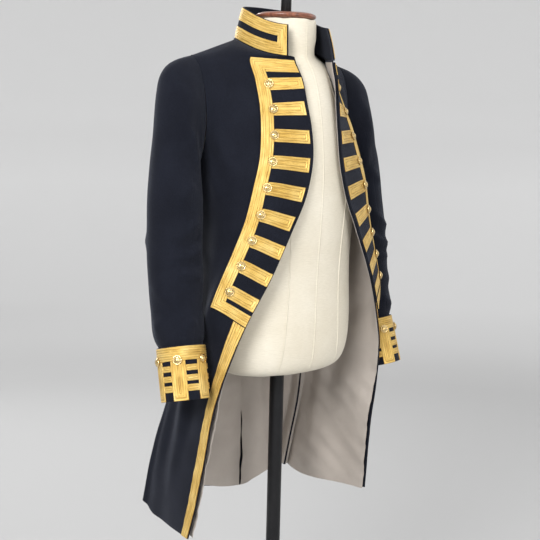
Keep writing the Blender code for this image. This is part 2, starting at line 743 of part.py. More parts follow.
def add_cuff(hand):
    angles, looped = cuff_angles()
    length = cuff_frame()[0]
    axis_points = [CUFF_TOP, CUFF_BOTTOM]
    points = [[cuff_point(a, d) for d in (0, length)] for a in angles]
    normals = [[(p - c).normalized() for p, c in zip(line, axis_points)] for line in points]
    mesh = layer("cuff_" + hand, points, normals, -CUFF_CLOTH, 0, hand, closed=True)
    new_object("cuff_" + hand, mesh, NAVY, 0.85, 0)

    points = [[cuff_point(a, d) for d in CUFF_STEPS] for a in angles]
    normals = [[normals[k][0]] * len(CUFF_STEPS) for k in range(len(angles))]

    def laced(i, j):
        return j > 0 and (looped[i] or j not in CUFF_OPEN_ROWS)

    mesh = layer("cuff_lace_" + hand, points, normals, GAP, GAP + LACE, hand, laced, True)
    new_object("cuff_lace_" + hand, mesh, GOLD_LACE, 0.45, 0.6)
    places = []
    for angle in CUFF_LOOP_ANGLES:
        point = cuff_point(angle, CUFF_STEPS[2] - 0.001)
        direction = (point - cuff_point(angle + 180, CUFF_STEPS[2] - 0.001)).normalized()
        point += direction * (2 * GAP + LACE)
        places.append((for_side(point, hand), for_side(direction, hand)))
    return places


# ---------------------------------------------------------------- buttons
def button_mesh():
    """A domed button with a rolled foot, standing on its own origin."""
    sides = 8
    profile = ((0.78, 0.0), (1.0, 0.22), (0.97, 0.42), (0.62, 0.88))
    bm = bmesh.new()
    rings = []
    for radius, height in profile:
        ring = []
        for k in range(sides):
            angle = 2 * math.pi * k / sides
            ring.append(bm.verts.new((BUTTON_RADIUS * radius * math.cos(angle),
                                      BUTTON_RADIUS * radius * math.sin(angle),
                                      BUTTON_HEIGHT * height)))
        rings.append(ring)
    bm.faces.new(reversed(rings[0]))
    for low, high in zip(rings, rings[1:]):
        for k in range(sides):
            m = (k + 1) % sides
            bm.faces.new((low[k], low[m], high[m], high[k]))
    crown = bm.verts.new((0, 0, BUTTON_HEIGHT))
    for k in range(sides):
        bm.faces.new((rings[-1][k], rings[-1][(k + 1) % sides], crown))
    return finish_mesh("button", bm)


def add_buttons(name, places, shape):
    for k, (point, normal) in enumerate(places):
        button = new_object(name + "_" + str(k + 1), shape.copy(), BRASS, 0.28, 1.0)
        turn = normal.to_track_quat("Z", "Y").to_matrix().to_4x4()
        button.matrix_world = Matrix.Translation(point) @ turn


# ---------------------------------------------------------------- dress form and stand
def turned(name, profile, sides, colour, roughness, centre_y=0.0):
    """A closed turned solid from (radius, height) pairs, bottom first."""
    bm = bmesh.new()
    rings = []
    for radius, height in profile:
        ring = []
        for k in range(sides):
            angle = 2 * math.pi * k / sides
            ring.append(bm.verts.new((radius * math.cos(angle),
                                      centre_y + radius * math.sin(angle), height)))
        rings.append(ring)
    bm.faces.new(reversed(rings[0]))
    bm.faces.new(rings[-1])
    for low, high in zip(rings, rings[1:]):
        for k in range(sides):
            m = (k + 1) % sides
            bm.faces.new((low[k], low[m], high[m], high[k]))
    new_object(name, finish_mesh(name, bm), colour, roughness, 0)


def coat_tree():
    """Search tree of the coat's body, which the form has to stay inside."""
    bpy.context.view_layer.update()
    corners = []
    faces = []
    for thing in bpy.data.objects:
        if thing.name.startswith(("front_", "back_", "topsleeve_", "undersleeve_", "collar")):
            start = len(corners)
            corners += [v.co.copy() for v in thing.data.vertices]
            faces += [[start + i for i in face.vertices] for face in thing.data.polygons]
    return BVHTree.FromPolygons(corners, faces)


def add_form():
    tree = coat_tree()
    bm = bmesh.new()
    rings = []
    for height, half_width, front, back, widest, squareness in FORM_SECTIONS:
        ring = []
        axis = Vector((0, widest, height))
        for k in range(FORM_SIDES):
            angle = 2 * math.pi * k / FORM_SIDES
            cos, sin = math.cos(angle), math.sin(angle)
            depth = back - widest if sin > 0 else widest - front
            spoke = Vector((half_width * math.copysign(abs(cos) ** (2 / squareness), cos),
                            depth * math.copysign(abs(sin) ** (2 / squareness), sin), 0))
            if height > NECK_START:
                aside = (axis - NECK_CENTRE).to_2d()
                along = aside.dot(spoke.to_2d().normalized())
                room = NECK_RADIUS ** 2 - aside.length_squared + along ** 2
                reach = math.sqrt(room) - along
                spoke = spoke.normalized() * max(spoke.length, reach)
            hit = tree.ray_cast(axis, spoke.normalized(), spoke.length + FORM_CLEARANCE)
            if hit[0] is not None:
                spoke = spoke.normalized() * (hit[3] - FORM_CLEARANCE)
            ring.append(bm.verts.new(axis + spoke))
        rings.append(ring)
    bm.faces.new(reversed(rings[0]))
    bm.faces.new(rings[-1])
    for low, high in zip(rings, rings[1:]):
        for k in range(FORM_SIDES):
            m = (k + 1) % FORM_SIDES
            bm.faces.new((low[k], low[m], high[m]))
            bm.faces.new((low[k], high[m], high[k]))
    new_object("form_body", finish_mesh("form_body", bm), LINEN, 0.8, 0)


def add_stand():
    turned("base", ((BASE_RADIUS, 0), (BASE_RADIUS, 0.012), (BASE_RADIUS - 0.006, BASE_HEIGHT)),
           32, BLACK, 0.4)
    bottom = BASE_HEIGHT + GAP
    turned("pole", ((POLE_RADIUS, bottom), (POLE_RADIUS, FORM_BOTTOM - GAP)), 16, BLACK, 0.35)
    cap = NECK_TOP + GAP
    turned("neck_cap", ((0.052, cap), (0.0575, cap + 0.003), (0.0575, cap + 0.008),
                        (0.052, cap + 0.0115), (0.016, cap + 0.014)), 20, WOOD, 0.4)
    rod = cap + 0.014 + GAP
    turned("top_rod", ((0.010, rod), (0.010, rod + 0.050), (0.006, rod + 0.056)), 12, BLACK, 0.35)


def main():
    for thing in list(bpy.data.objects):
        bpy.data.objects.remove(thing, do_unlink=True)
    shape = button_mesh()
    for hand in ("right", "left"):
        add_front(hand)
        add_back(hand)
        add_skirt_lace(hand)
        add_sleeve(hand)
        add_buttons("lapel_button_" + hand, add_lapel(hand), shape)
        add_buttons("cuff_button_" + hand, add_cuff(hand), shape)
    add_collar()
    add_form()
    add_stand()
    bpy.data.meshes.remove(shape)


main()
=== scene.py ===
"""The looks of a navy frock coat with gold lace on a limbless dress form.

Units are metres, +Z is up, the coat faces -Y and the wearer's left is at +X.  The coat's
surface is worked out from the same sections as its solids, and sampled more finely.
"""
import math

import bmesh
import bpy
import numpy as np
from mathutils import Matrix, Vector
from mathutils.bvhtree import BVHTree


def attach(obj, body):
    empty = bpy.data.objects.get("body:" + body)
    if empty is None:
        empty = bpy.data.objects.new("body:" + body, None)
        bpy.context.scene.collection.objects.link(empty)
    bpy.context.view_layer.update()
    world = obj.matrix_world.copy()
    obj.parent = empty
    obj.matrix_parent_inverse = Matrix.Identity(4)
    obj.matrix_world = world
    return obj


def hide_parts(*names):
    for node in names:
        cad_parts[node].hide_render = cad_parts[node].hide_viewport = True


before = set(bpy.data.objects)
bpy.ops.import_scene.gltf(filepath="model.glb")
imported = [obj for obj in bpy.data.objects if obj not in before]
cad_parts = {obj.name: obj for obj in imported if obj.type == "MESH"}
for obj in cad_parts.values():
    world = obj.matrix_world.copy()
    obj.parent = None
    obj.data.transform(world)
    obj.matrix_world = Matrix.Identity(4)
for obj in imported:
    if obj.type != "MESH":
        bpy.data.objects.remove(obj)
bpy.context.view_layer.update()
BODY = "root"

# ---------------------------------------------------------------- sizes shared with the solids
CLOTH = 0.0020
LINING = 0.0010
GAP = 0.0003
LAPEL_GAP = 0.0016
LAPEL_BAND = 0.0255
LAPEL_TOP_BAND = 0.029
LAPEL_FOOT_BAND = 0.020
LAPEL_LOOP = 0.0245
LAPEL_PITCH = 0.0498
LAPEL_FIRST = 0.0435
LAPEL_LAST = 0.0070
LAPEL_LOOPS = 9
LAPEL_RIM = 0.0015
LAPEL_RIM_COLUMN = 0.985
FULL_LOOPS = (1, 7, 8, 9)
LOOP_END = 0.07
FULL_LOOP_END = 0.02
BUTTON_COLUMN = 0.74
SKIRT_LACE_COLUMNS = (0.02, 0.325)
COLLAR_SEAT = 0.0024
COLLAR_TUCK = 0.0036
COLLAR_SMOOTHING = 40
COLLAR_HEIGHT = 0.058
COLLAR_LEAN = 0.0135
COLLAR_CLOTH = 0.0030
COLLAR_STEPS = (0.0, 0.021, 0.0335, 0.0565, 0.058)
COLLAR_END = 0.3
COLLAR_END_LACE = 0.021
LACE_CORD = 0.0042
CUFF_TOP = np.array((0.254, -0.014, 0.933))
CUFF_BOTTOM = np.array((0.260, -0.039, 0.839))
CUFF_TOP_RADIUS = 0.0437
CUFF_BOTTOM_RADIUS = 0.0432
CUFF_CLOTH = 0.0022
CUFF_LOOP_ANGLES = (-84.0, -19.0, 42.0, 107.0)
CUFF_LOOP_WIDTH = 36.0
CUFF_STEPS = (0.0, 0.0015, 0.0265, 0.0345, 0.0455, 0.0525, 0.0635, 0.0695, 0.0815, 0.0975)
CUFF_OPEN_ROWS = (2, 4, 6, 8)
BUTTON_RADIUS = 0.0085
BUTTON_HEIGHT = 0.0055
SLEEVE_START = 0.0012
VENT_COLUMN = 6.34
VENT_TOP = 4.5
PLEAT_DEPTH = 0.022
PLEAT_TOP = 5.0
PLEAT_WIDTH = 0.13
PLEAT_DIRECTION = np.array((0.62, 0.78, 0))
POLE_RADIUS = 0.014
BASE_RADIUS = 0.170
BASE_HEIGHT = 0.018
FORM_BOTTOM = 0.860
NECK_TOP = 1.532
TOP_ROW = 14
ARMPIT_ROW = 9
LINING_TOP = 6
SIDE_LINING = (8, 2.5)
HEM_TURN = 0.035
SEAM_LAP = 0.012
FACING_COLUMN = 0.65

# Half sections of the coat's outer face, hem first.  Columns: front edge, lapel line, chest,
# side, side seam, shoulder blade, centre back.
SECTIONS = (
    ((.242, -.027, .570), (.2245, .048, .568), (.211, .095, .567), (.2045, .135, .570),
     (.190, .174, .588), (.100, .130, .602), (0, .112, .588)),
    ((.232, -.041, .647), (.2220, .035, .650), (.211, .078, .652), (.2040, .118, .657),
     (.188, .155, .665), (.099, .130, .666), (0, .112, .655)),
    ((.224, -.054, .730), (.2165, .022, .733), (.209, .055, .735), (.2000, .094, .738),
     (.183, .132, .742), (.098, .129, .736), (0, .114, .728)),
    ((.220, -.069, .815), (.2090, .007, .818), (.204, .037, .817), (.1950, .070, .816),
     (.174, .113, .815), (.095, .127, .812), (0, .118, .810)),
    ((.201, -.090, .905), (.2030, -.014, .920), (.196, .018, .912), (.1840, .054, .904),
     (.159, .098, .896), (.090, .124, .892), (0, .121, .890)),
    ((.175, -.1005, .970), (.2165, -.0535, 1.0055), (.198, -.008, .988), (.183, .032, .976),
     (.149, .090, .966), (.085, .120, .962), (0, .121, .960)),
    ((.1255, -.1175, 1.065), (.1855, -.069, 1.095), (.192, -.035, 1.082), (.179, .015, 1.069),
     (.144, .084, 1.060), (.083, .115, 1.058), (0, .117, 1.056)),
    ((.088, -.1215, 1.137), (.162, -.077, 1.160), (.181, -.043, 1.150), (.177, .011, 1.138),
     (.152, .082, 1.130), (.087, .119, 1.130), (0, .119, 1.130)),
    ((.0515, -.1225, 1.208), (.147, -.080, 1.220), (.170, -.051, 1.212), (.178, .003, 1.204),
     (.167, .070, 1.198), (.096, .128, 1.198), (0, .127, 1.198)),
)

# The same above the armpit.  Columns: front edge, lapel line, chest, side, armhole angle (0 at
# its lowest point), shoulder blade, centre back.
UPPER_SECTIONS = (
    ((.0365, -.121, 1.270), (.132, -.0775, 1.273), (.161, -.055, 1.268), (.176, -.015, 1.262),
     0, (.100, .134, 1.262), (0, .134, 1.262)),
    ((.0345, -.1145, 1.325), (.120, -.066, 1.325), (.151, -.043, 1.322), (.171, -.018, 1.319),
     66, (.100, .138, 1.318), (0, .138, 1.320)),
    ((.039, -.104, 1.378), (.110, -.050, 1.370), (.142, -.025, 1.369), (.165, -.007, 1.366),
     94, (.100, .134, 1.370), (0, .136, 1.370)),
    ((.0435, -.0955, 1.418), (.105, -.032, 1.413), (.135, -.009, 1.412), (.161, .004, 1.409),
     120, (.098, .122, 1.412), (0, .129, 1.415)),
    ((.0505, -.081, 1.4535), (.100, -.0135, 1.457), (.130, .008, 1.457), (.159, .019, 1.452),
     150, (.094, .098, 1.452), (0, .113, 1.460)),
)
NECK_FRONT = ((.051, -.080, 1.458), (.0635, -.071, 1.459), (.0715, -.049, 1.462),
              (.079, -.025, 1.4675), (.084, .008, 1.478), (.085, .045, 1.493))
NECK_BACK = ((.085, .045, 1.493), (.070, .068, 1.4965), (.040, .082, 1.499), (0, .087, 1.500))
ARMHOLE_TOP = np.array((.190, .050, 1.456))
ARMHOLE_BOTTOM = np.array((.180, .050, 1.255))
ARMHOLE_HALF_DEPTH = 0.043

# Rings of the sleeve.  Columns: outer point (x, z), inner point (x, z), centre y, half depth,
# rise of the front point.
SLEEVE_RINGS = (
    ((.207, 1.4518), (.1830, 1.252), .0485, .0455, .000),
    ((.225, 1.4458), (.1845, 1.248), .0470, .0480, .000),
    ((.242, 1.4365), (.1858, 1.243), .0450, .0480, .000),
    ((.254, 1.424), (.1868, 1.237), .0420, .0470, .000),
    ((.2615, 1.400), (.1876, 1.230), .0395, .0470, .000),
    ((.268, 1.365), (.1880, 1.222), .0365, .0475, .000),
    ((.2745, 1.322), (.1880, 1.212), .0330, .0480, .001),
    ((.285, 1.258), (.1888, 1.200), .0285, .0497, .003),
    ((.2925, 1.190), (.1910, 1.180), .0235, .0505, .005),
    ((.297, 1.130), (.1960, 1.126), .0180, .0505, .0055),
    ((.300, 1.062), (.2000, 1.058), .0095, .0500, .006),
    ((.299, 1.002), (.2040, .998), .0020, .0475, .009),
    ((.298, .947), (.2105, .941), -.0105, .0437, .0115),
)

# ---------------------------------------------------------------- creases placed one by one
# Soft ridges (positive) and troughs on the coat's body.  Columns: start column and row, end
# column and row, half width, height, and the side it is on.
BODY_FOLD_STRENGTH = 1.35
BODY_FOLDS = (
    (3.55, 10.2, 2.2, 8.6, .012, .0030, "both"), (3.4, 9.2, 2.4, 7.6, .011, .0024, "both"),
    (2.6, 12.6, 3.3, 10.6, .016, .0028, "both"), (1.3, 12.4, 1.5, 9.5, .018, .0016, "both"),
    (3.6, 6.6, 2.2, 5.9, .010, .0022, "both"), (3.8, 5.9, 2.6, 5.1, .012, .0026, "right"),
    (3.9, 6.3, 2.9, 5.6, .010, .0024, "left"), (2.3, 5.0, 2.0, 2.0, .022, .0032, "both"),
    (1.3, 4.6, 1.15, 1.2, .020, -.0030, "both"), (3.1, 4.6, 3.2, .6, .020, .0034, "both"),
    (2.7, 3.8, 2.65, .4, .016, -.0030, "both"), (1.7, 3.2, 1.65, .3, .018, .0026, "right"),
    (4.2, 9.0, 4.9, 7.6, .013, .0026, "both"), (4.3, 8.0, 5.1, 6.8, .012, .0022, "both"),
    (4.5, 10.8, 5.0, 9.0, .016, .0026, "both"), (5.1, 5.6, 5.15, 2.4, .020, .0030, "both"),
    (4.7, 4.8, 4.7, .8, .018, .0034, "both"), (5.5, 4.2, 5.45, .4, .018, -.0030, "both"),
    (5.2, 12.9, 5.6, 11.6, .014, .0016, "both"), (4.25, 6.4, 5.3, 5.9, .010, .0018, "right"),
    (4.3, 6.2, 5.4, 6.5, .010, .0018, "left"),
)

# The same on the sleeves.  Columns: start angle (0 outwards, 90 to the front) and height, end
# angle and height, half width, height of the crease, and the side.
SLEEVE_FOLD_STRENGTH = 1.6
SLEEVE_FOLDS = (
    (118, 1.165, 40, 1.120, .009, .0034, "both"), (128, 1.110, 30, 1.082, .008, .0036, "both"),
    (120, 1.135, 62, 1.102, .006, -.0024, "both"), (125, 1.060, 48, 1.068, .009, .0030, "both"),
    (112, 1.085, 58, 1.077, .006, -.0022, "both"), (70, 1.010, -10, 1.045, .011, .0022, "both"),
    (-30, 1.110, -100, 1.150, .012, .0022, "both"), (-60, 1.060, -140, 1.090, .011, .0020, "both"),
    (84, 1.330, 104, 1.245, .011, .0034, "both"), (60, 1.400, 80, 1.280, .015, .0026, "both"),
    (95, 1.230, 55, 1.190, .012, .0024, "right"), (98, 1.250, 60, 1.215, .012, .0024, "left"),
    (-70, 1.380, -96, 1.270, .015, .0028, "both"), (20, 1.300, 10, 1.190, .022, .0018, "both"),
    (30, .990, -20, .965, .010, .0018, "both"), (100, .985, 55, .962, .009, .0022, "both"),
    (150, 1.240, 200, 1.215, .010, -.0024, "both"), (165, 1.150, 220, 1.110, .012, .0022, "both"),
)


# ---------------------------------------------------------------- curves
def unit(vectors):
    length = np.linalg.norm(vectors, axis=-1, keepdims=True)
    return vectors / np.maximum(length, 1e-12)


def slopes_of(points):
    """Directions of smooth curves through rows of points."""
    steps = points[..., 1:, :] - points[..., :-1, :]
    length = np.maximum(np.linalg.norm(steps, axis=-1, keepdims=True), 1e-9)
    ways = steps / length
    slopes = np.empty_like(points)
    before, after = length[..., :-1, :], length[..., 1:, :]
    slopes[..., 1:-1, :] = (ways[..., :-1, :] * after + ways[..., 1:, :] * before) / (before + after)
    slopes[..., 0, :] = 1.5 * ways[..., 0, :] - 0.5 * slopes[..., 1, :]
    slopes[..., -1, :] = 1.5 * ways[..., -1, :] - 0.5 * slopes[..., -2, :]
    return slopes


def hermite(start, stop, start_slope, stop_slope, t):
    length = np.linalg.norm(stop - start, axis=-1, keepdims=True)
    t = t[..., None]
    return (start * (2 * t ** 3 - 3 * t ** 2 + 1) + stop * (3 * t ** 2 - 2 * t ** 3)
            + start_slope * length * (t ** 3 - 2 * t ** 2 + t)
            + stop_slope * length * (t ** 3 - t ** 2))


def along(points, position):
    """Points at the given positions on a smooth curve through the points."""
    points = np.asarray(points, float)
    position = np.asarray(position, float)
    slopes = slopes_of(points)
    i = np.clip(position.astype(int), 0, len(points) - 2)
    return hermite(points[i], points[i + 1], slopes[i], slopes[i + 1], position - i)


def ease(t):
    t = np.clip(t, 0.0, 1.0)
    return t * t * (3 - 2 * t)


# ---------------------------------------------------------------- the coat's body surface
def armhole(degrees, to_front):
    angle = np.radians(degrees)[..., None]
    side = np.where(to_front, -1.0, 1.0)[..., None]
    middle = (ARMHOLE_TOP + ARMHOLE_BOTTOM) / 2
    half = (ARMHOLE_TOP - ARMHOLE_BOTTOM) / 2
    return (middle - half * np.cos(angle)
            + side * np.array((0, ARMHOLE_HALF_DEPTH, 0)) * np.sin(angle))


def body_lines():
    neck = np.array(NECK_FRONT)
    corner = neck[-1]
    ends = (neck[0], along(neck, [2.5])[0], corner, (corner + ARMHOLE_TOP) / 2, None, corner,
            np.array(NECK_BACK[-1]))
    lines = []
    for k, end in enumerate(ends):
        if end is not None:
            lines.append(np.array([row[k] for row in SECTIONS + UPPER_SECTIONS] + [end]))
    return lines


LINES = body_lines()
SEAM = np.array([row[4] for row in SECTIONS] + [ARMHOLE_BOTTOM])
ARMHOLE_ANGLES = [row[4] for row in UPPER_SECTIONS] + [180]


def level_points(rows, to_front):
    """Control points of whole levels: four in front, the seam, two behind and one beyond."""
    points = [along(line, rows) for line in LINES[:4]]
    low = along(SEAM, np.minimum(rows, ARMPIT_ROW))
    angle = np.interp(rows, ARMPIT_ROW + np.arange(len(ARMHOLE_ANGLES)), ARMHOLE_ANGLES)
    high = armhole(angle, to_front)
    points.append(np.where((rows <= ARMPIT_ROW)[:, None], low, high))
    points += [along(line, rows) for line in LINES[4:]]
    points.append(points[5] * np.array((-1, 1, 1)))
    return np.stack(points, axis=1)


def level_curve(columns, rows, to_front):
    points = level_points(rows, to_front)
    slopes = slopes_of(points)
    slopes[:, 0] = unit(points[:, 1] - points[:, 0])
    parted = ease(rows - ARMPIT_ROW)[:, None]
    front_end = 1.5 * unit(points[:, 4] - points[:, 3]) - 0.5 * slopes[:, 3]
    back_end = 1.5 * unit(points[:, 5] - points[:, 4]) - 0.5 * slopes[:, 5]
    front_slope = slopes[:, 4] * (1 - parted) + front_end * parted
    back_slope = slopes[:, 4] * (1 - parted) + back_end * parted
    i = np.clip(columns.astype(int), 0, 5)
    i = np.where((i == 4) & to_front, 3, i)
    n = np.arange(len(rows))
    start_slope = np.where((i == 4)[:, None], back_slope, slopes[n, i])
    stop_slope = np.where((i == 3)[:, None], front_slope, slopes[n, i + 1])
    return hermite(points[n, i], points[n, i + 1], start_slope, stop_slope, columns - i)


def top_edge(columns):
    """The upper edge of the panels: the neck seam and the straight shoulder seam."""
    neck = np.array(NECK_FRONT)
    corner = neck[-1]
    front = along(neck, np.minimum(columns, 2) * 2.5)
    out = corner + (ARMHOLE_TOP - corner) * np.clip((columns - 2) / 2, 0, 1)[:, None]
    back_in = ARMHOLE_TOP + (corner - ARMHOLE_TOP) * np.clip(columns - 4, 0, 1)[:, None]
    behind = along(NECK_BACK, np.clip(columns - 5, 0, 1) * 3)
    pick = np.digitize(columns, (2 + 1e-9, 4 + 1e-9, 5 + 1e-9))[:, None]
    return np.select([pick == 0, pick == 1, pick == 2], [front, out, back_in], behind)


def pleat(columns, rows):
    depth = PLEAT_DEPTH * ease((PLEAT_TOP - rows) / PLEAT_TOP * 1.3)
    away = np.abs(columns - 4)
    fold = np.exp(-(away / PLEAT_WIDTH) ** 2)
    crest = np.exp(-((away - 0.30) / 0.16) ** 2)
    return depth * (0.35 * crest - fold)


def plain_cloth(columns, rows, to_front, lapped):
    """Points on the outer face of the coat's body, with no creases."""
    inside = np.minimum(columns, 12 - columns)
    points = level_curve(inside, rows, to_front)
    high = rows > TOP_ROW - 1
    if high.any():
        top = np.full(high.sum(), float(TOP_ROW))
        move = top_edge(inside[high]) - level_curve(inside[high], top, to_front[high])
        points[high] += move * (rows[high] - TOP_ROW + 1)[:, None] ** 2
    points += PLEAT_DIRECTION * pleat(inside, rows)[:, None]
    points[:, 0] = np.where(columns > 6, -points[:, 0], points[:, 0])
    if lapped:
        share = ease((columns - 5.3) / 0.6) * ease((VENT_TOP + 0.9 - rows) / 0.9)
        points[:, 1] += (CLOTH + 4 * GAP) * share
    return points


def plain_normals(columns, rows, to_front, lapped):
    step = 0.02
    upper = rows > ARMPIT_ROW
    low = np.where(upper & ~to_front, 4.0, 0.0)
    high = np.where(upper & to_front, 4.0, 6.3)
    left = np.maximum(columns - step, low)
    right = np.minimum(columns + step, np.maximum(high, columns))
    across = (plain_cloth(right, rows, (right < 4) | (to_front & upper), lapped)
              - plain_cloth(left, rows, (left < 4) | (to_front & upper), lapped))
    upward = (plain_cloth(columns, np.minimum(rows + step, TOP_ROW), to_front, lapped)
              - plain_cloth(columns, np.maximum(rows - step, 0), to_front, lapped))
    return unit(np.cross(across, upward))


def crease_field(points, creases):
    """Height of the creases at each point.  A crease is (start, end, half width, height)."""
    total = np.zeros(len(points))
    for start, end, width, height in creases:
        length = np.linalg.norm(end - start)
        t = np.clip((points - start) @ (end - start) / length ** 2, 0, 1)
        away = np.linalg.norm(points - (start + t[:, None] * (end - start)), axis=1)
        taper = ease(t * 3 + 0.15) * ease((1 - t) * 2.2 + 0.05)
        total += height * taper * np.exp(-(away / width) ** 2)
    return total


def body_creases(side):
    made = []
    for c0, r0, c1, r1, width, height, where in BODY_FOLDS:
        if where in ("both", side):
            columns, rows = np.array((c0, c1)), np.array((r0, r1))
            ends = plain_cloth(columns, rows, columns < 4, False)
            made.append((ends[0], ends[1], width, height * BODY_FOLD_STRENGTH))
    return made


BODY_CREASES = {side: body_creases(side) for side in ("right", "left")}


def ripples(points, side):
    """Very low waves that no cloth in use is without."""
    shift = 0.7 if side == "right" else 2.1
    x, y, z = points.T
    low = np.sin(31 * z + 17 * x + shift) * np.sin(23 * y - 19 * x + 2 * shift)
    high = np.sin(67 * z - 41 * y + 3 * shift) * np.sin(53 * x + 29 * y)
    skirt = ease((0.86 - z) / 0.25)
    return 0.0005 * low + 0.0003 * high + 0.0006 * skirt * np.sin(46 * (x + y) + 9 * z + shift)


def coat_surface(columns, rows, to_front, side, lapped=False):
    """Grids of points and outward directions of the coat at grids of columns and rows."""
    shape = columns.shape
    flat_columns, flat_rows = columns.ravel(), rows.ravel()
    faces_front = np.full(len(flat_rows), to_front)
    points = plain_cloth(flat_columns, flat_rows, faces_front, lapped)
    normals = plain_normals(flat_columns, flat_rows, faces_front, lapped)
    height = crease_field(points, BODY_CREASES[side]) + ripples(points, side)
    near_seam = np.minimum(ease((TOP_ROW - flat_rows) * 1.5), 1)
    points = points + normals * (height * near_seam)[:, None]
    points = points.reshape(*shape, 3)
    return points, grid_normals(points, normals.reshape(*shape, 3))


def grid_normals(points, guide):
    across = np.gradient(points, axis=0)
    upward = np.gradient(points, axis=1)
    normals = unit(np.cross(across, upward))
    facing = np.sum(normals * guide, axis=-1, keepdims=True)
    return np.where(facing < 0.2, guide, normals)


# ---------------------------------------------------------------- mesh building
RIM_SHARES = (0.12, 0.45, 1.0)      # places of the extra lines that make an edge round
SAME_POINT = 1e-7


def spread(marks, step):
    """Values from the first mark to the last that include every mark, at most step apart."""
    values = [marks[0]]
    for low, high in zip(marks, marks[1:]):
        count = max(1, math.ceil((high - low) / step - 1e-6))
        values += [low + (high - low) * k / count for k in range(1, count + 1)]
    return np.array(values)


def edged(values, low, high, size):
    """Adds lines close inside both ends, for a border that is turned over round."""
    length = abs(high - low)
    extra = [low + size * k for k in RIM_SHARES] + [high - size * k for k in RIM_SHARES]
    kept = [v for v in values if size * 1.3 < v - low < length - size * 1.3]
    return np.array(sorted([low, high, *extra, *kept]))


def walks(points, axis):
    """Distances walked along the lines of a grid."""
    steps = np.linalg.norm(np.diff(points, axis=axis), axis=-1)
    first = np.zeros_like(np.take(steps, [0], axis=axis))
    return np.concatenate([first, np.cumsum(steps, axis=axis)], axis=axis)


def to_ends(walked, axis):
    """Distances to the nearer end of each line."""
    return np.minimum(walked, np.take(walked, [-1], axis=axis) - walked)


def middles(values):
    return (values[1:] + values[:-1]) / 2


def on_side(points, side):
    return points if side == "left" else points * np.array((-1, 1, 1))


def add_object(name, data):
    thing = bpy.data.objects.new(name, data)
    bpy.context.scene.collection.objects.link(thing)
    return thing


def mesh_object(name, points, faces, uv=None):
    mesh = bpy.data.meshes.new(name)
    mesh.from_pydata(points.tolist(), [], faces)
    if uv is not None:
        layer = mesh.uv_layers.new(name="UVMap")
        corner = np.empty(len(mesh.loops), np.int32)
        mesh.loops.foreach_get("vertex_index", corner)
        layer.data.foreach_set("uv", uv[corner].astype(np.float32).ravel())
    bm = bmesh.new()
    bm.from_mesh(mesh)
    bmesh.ops.recalc_face_normals(bm, faces=bm.faces)
    bm.to_mesh(mesh)
    bm.free()
    mesh.shade_smooth()
    mesh.set_sharp_from_angle(angle=math.radians(50))
    return add_object(name + "_shown", mesh)


def lengths_uv(points):
    """Distances across and up a grid, in metres, for the weave."""
    lengths = walks(points, 0).mean(axis=1), walks(points, 1).mean(axis=0)
    return np.stack(np.meshgrid(*lengths, indexing="ij"), axis=-1)


def slab(name, outer, inner, covered=None, closed=False, uv=None):
    """Closed mesh between two grids of points, on the cells that are covered."""
    lines, steps = outer.shape[:2]
    cells = lines if closed else lines - 1
    if covered is None:
        covered = np.ones((cells, steps - 1), bool)
    count = lines * steps
    shared = np.linalg.norm(outer - inner, axis=-1).ravel() < SAME_POINT
    second = (np.arange(count) + np.where(shared, 0, count)).tolist()
    faces = []

    def is_covered(i, j):
        i = i % lines if closed else i
        return 0 <= i < cells and 0 <= j < steps - 1 and covered[i, j]

    for i, j in np.argwhere(covered).tolist():
        a, b = i * steps + j, (i + 1) % lines * steps + j
        c, d = b + 1, a + 1
        faces += [[a, b, c, d], [second[k] for k in (d, c, b, a)]]
        for beside, start, stop in (((i, j - 1), b, a), ((i, j + 1), d, c),
                                    ((i - 1, j), a, d), ((i + 1, j), c, b)):
            rim = list(dict.fromkeys((start, stop, second[stop], second[start])))
            if len(rim) > 2 and not is_covered(*beside):
                faces.append(rim)
    used = sorted({index for face in faces for index in face})
    place = {old: new for new, old in enumerate(used)}
    faces = [[place[index] for index in face] for face in faces]
    points = np.concatenate([outer.reshape(-1, 3), inner.reshape(-1, 3)])
    uv = lengths_uv(outer) if uv is None else uv
    uv = np.concatenate([uv.reshape(-1, 2)] * 2)
    return mesh_object(name, points[used], faces, uv[used])


def wall(name, points, normals, low, high, side, **ways):
    """A slab between two heights over a surface."""
    inner, outer = (on_side(points + normals * np.asarray(height)[..., None], side)
                    for height in (low, high))
    return slab(name, outer, inner, **ways)


def with_rims(grid, radius, closed=False):
    """Repeats a grid's border lines at short distances inwards, so that an edge can be round."""
    for axis in ((1,) if closed else (0, 1)):
        grid = np.moveaxis(grid, axis, 0)
        for _ in ("first end", "last end"):
            room = np.linalg.norm(grid[1, :, :3] - grid[0, :, :3], axis=-1)
            room = np.maximum(room, radius * 1.2)
            rims = [grid[0] + (grid[1] - grid[0]) * (share * radius / room)[:, None]
                    for share in RIM_SHARES]
            grid = np.concatenate([grid[:1], np.array(rims), grid[1:]])[::-1]
        grid = np.moveaxis(grid, 0, axis)
    return grid


def rounding(far, radius):
    """Share of the half thickness that a half round edge has at a distance from its border."""
    return np.sqrt(np.clip(1 - (1 - np.minimum(far / radius, 1)) ** 2, 0, 1))


def round_wall(name, points, normals, low, high, side, closed=False):
    """A wall of cloth whose borders are turned over in a half round."""
    radius, middle = (high - low) / 2, (low + high) / 2
    both = with_rims(np.concatenate([points, normals], axis=-1), radius, closed)
    points, normals = both[..., :3], unit(both[..., 3:])
    far = to_ends(walks(points, 1), 1)
    if not closed:
        far = np.minimum(far, to_ends(walks(points, 0), 0))
    half = radius * rounding(far, radius)
    return wall(name, points, normals, middle - half, middle + half, side, closed=closed)


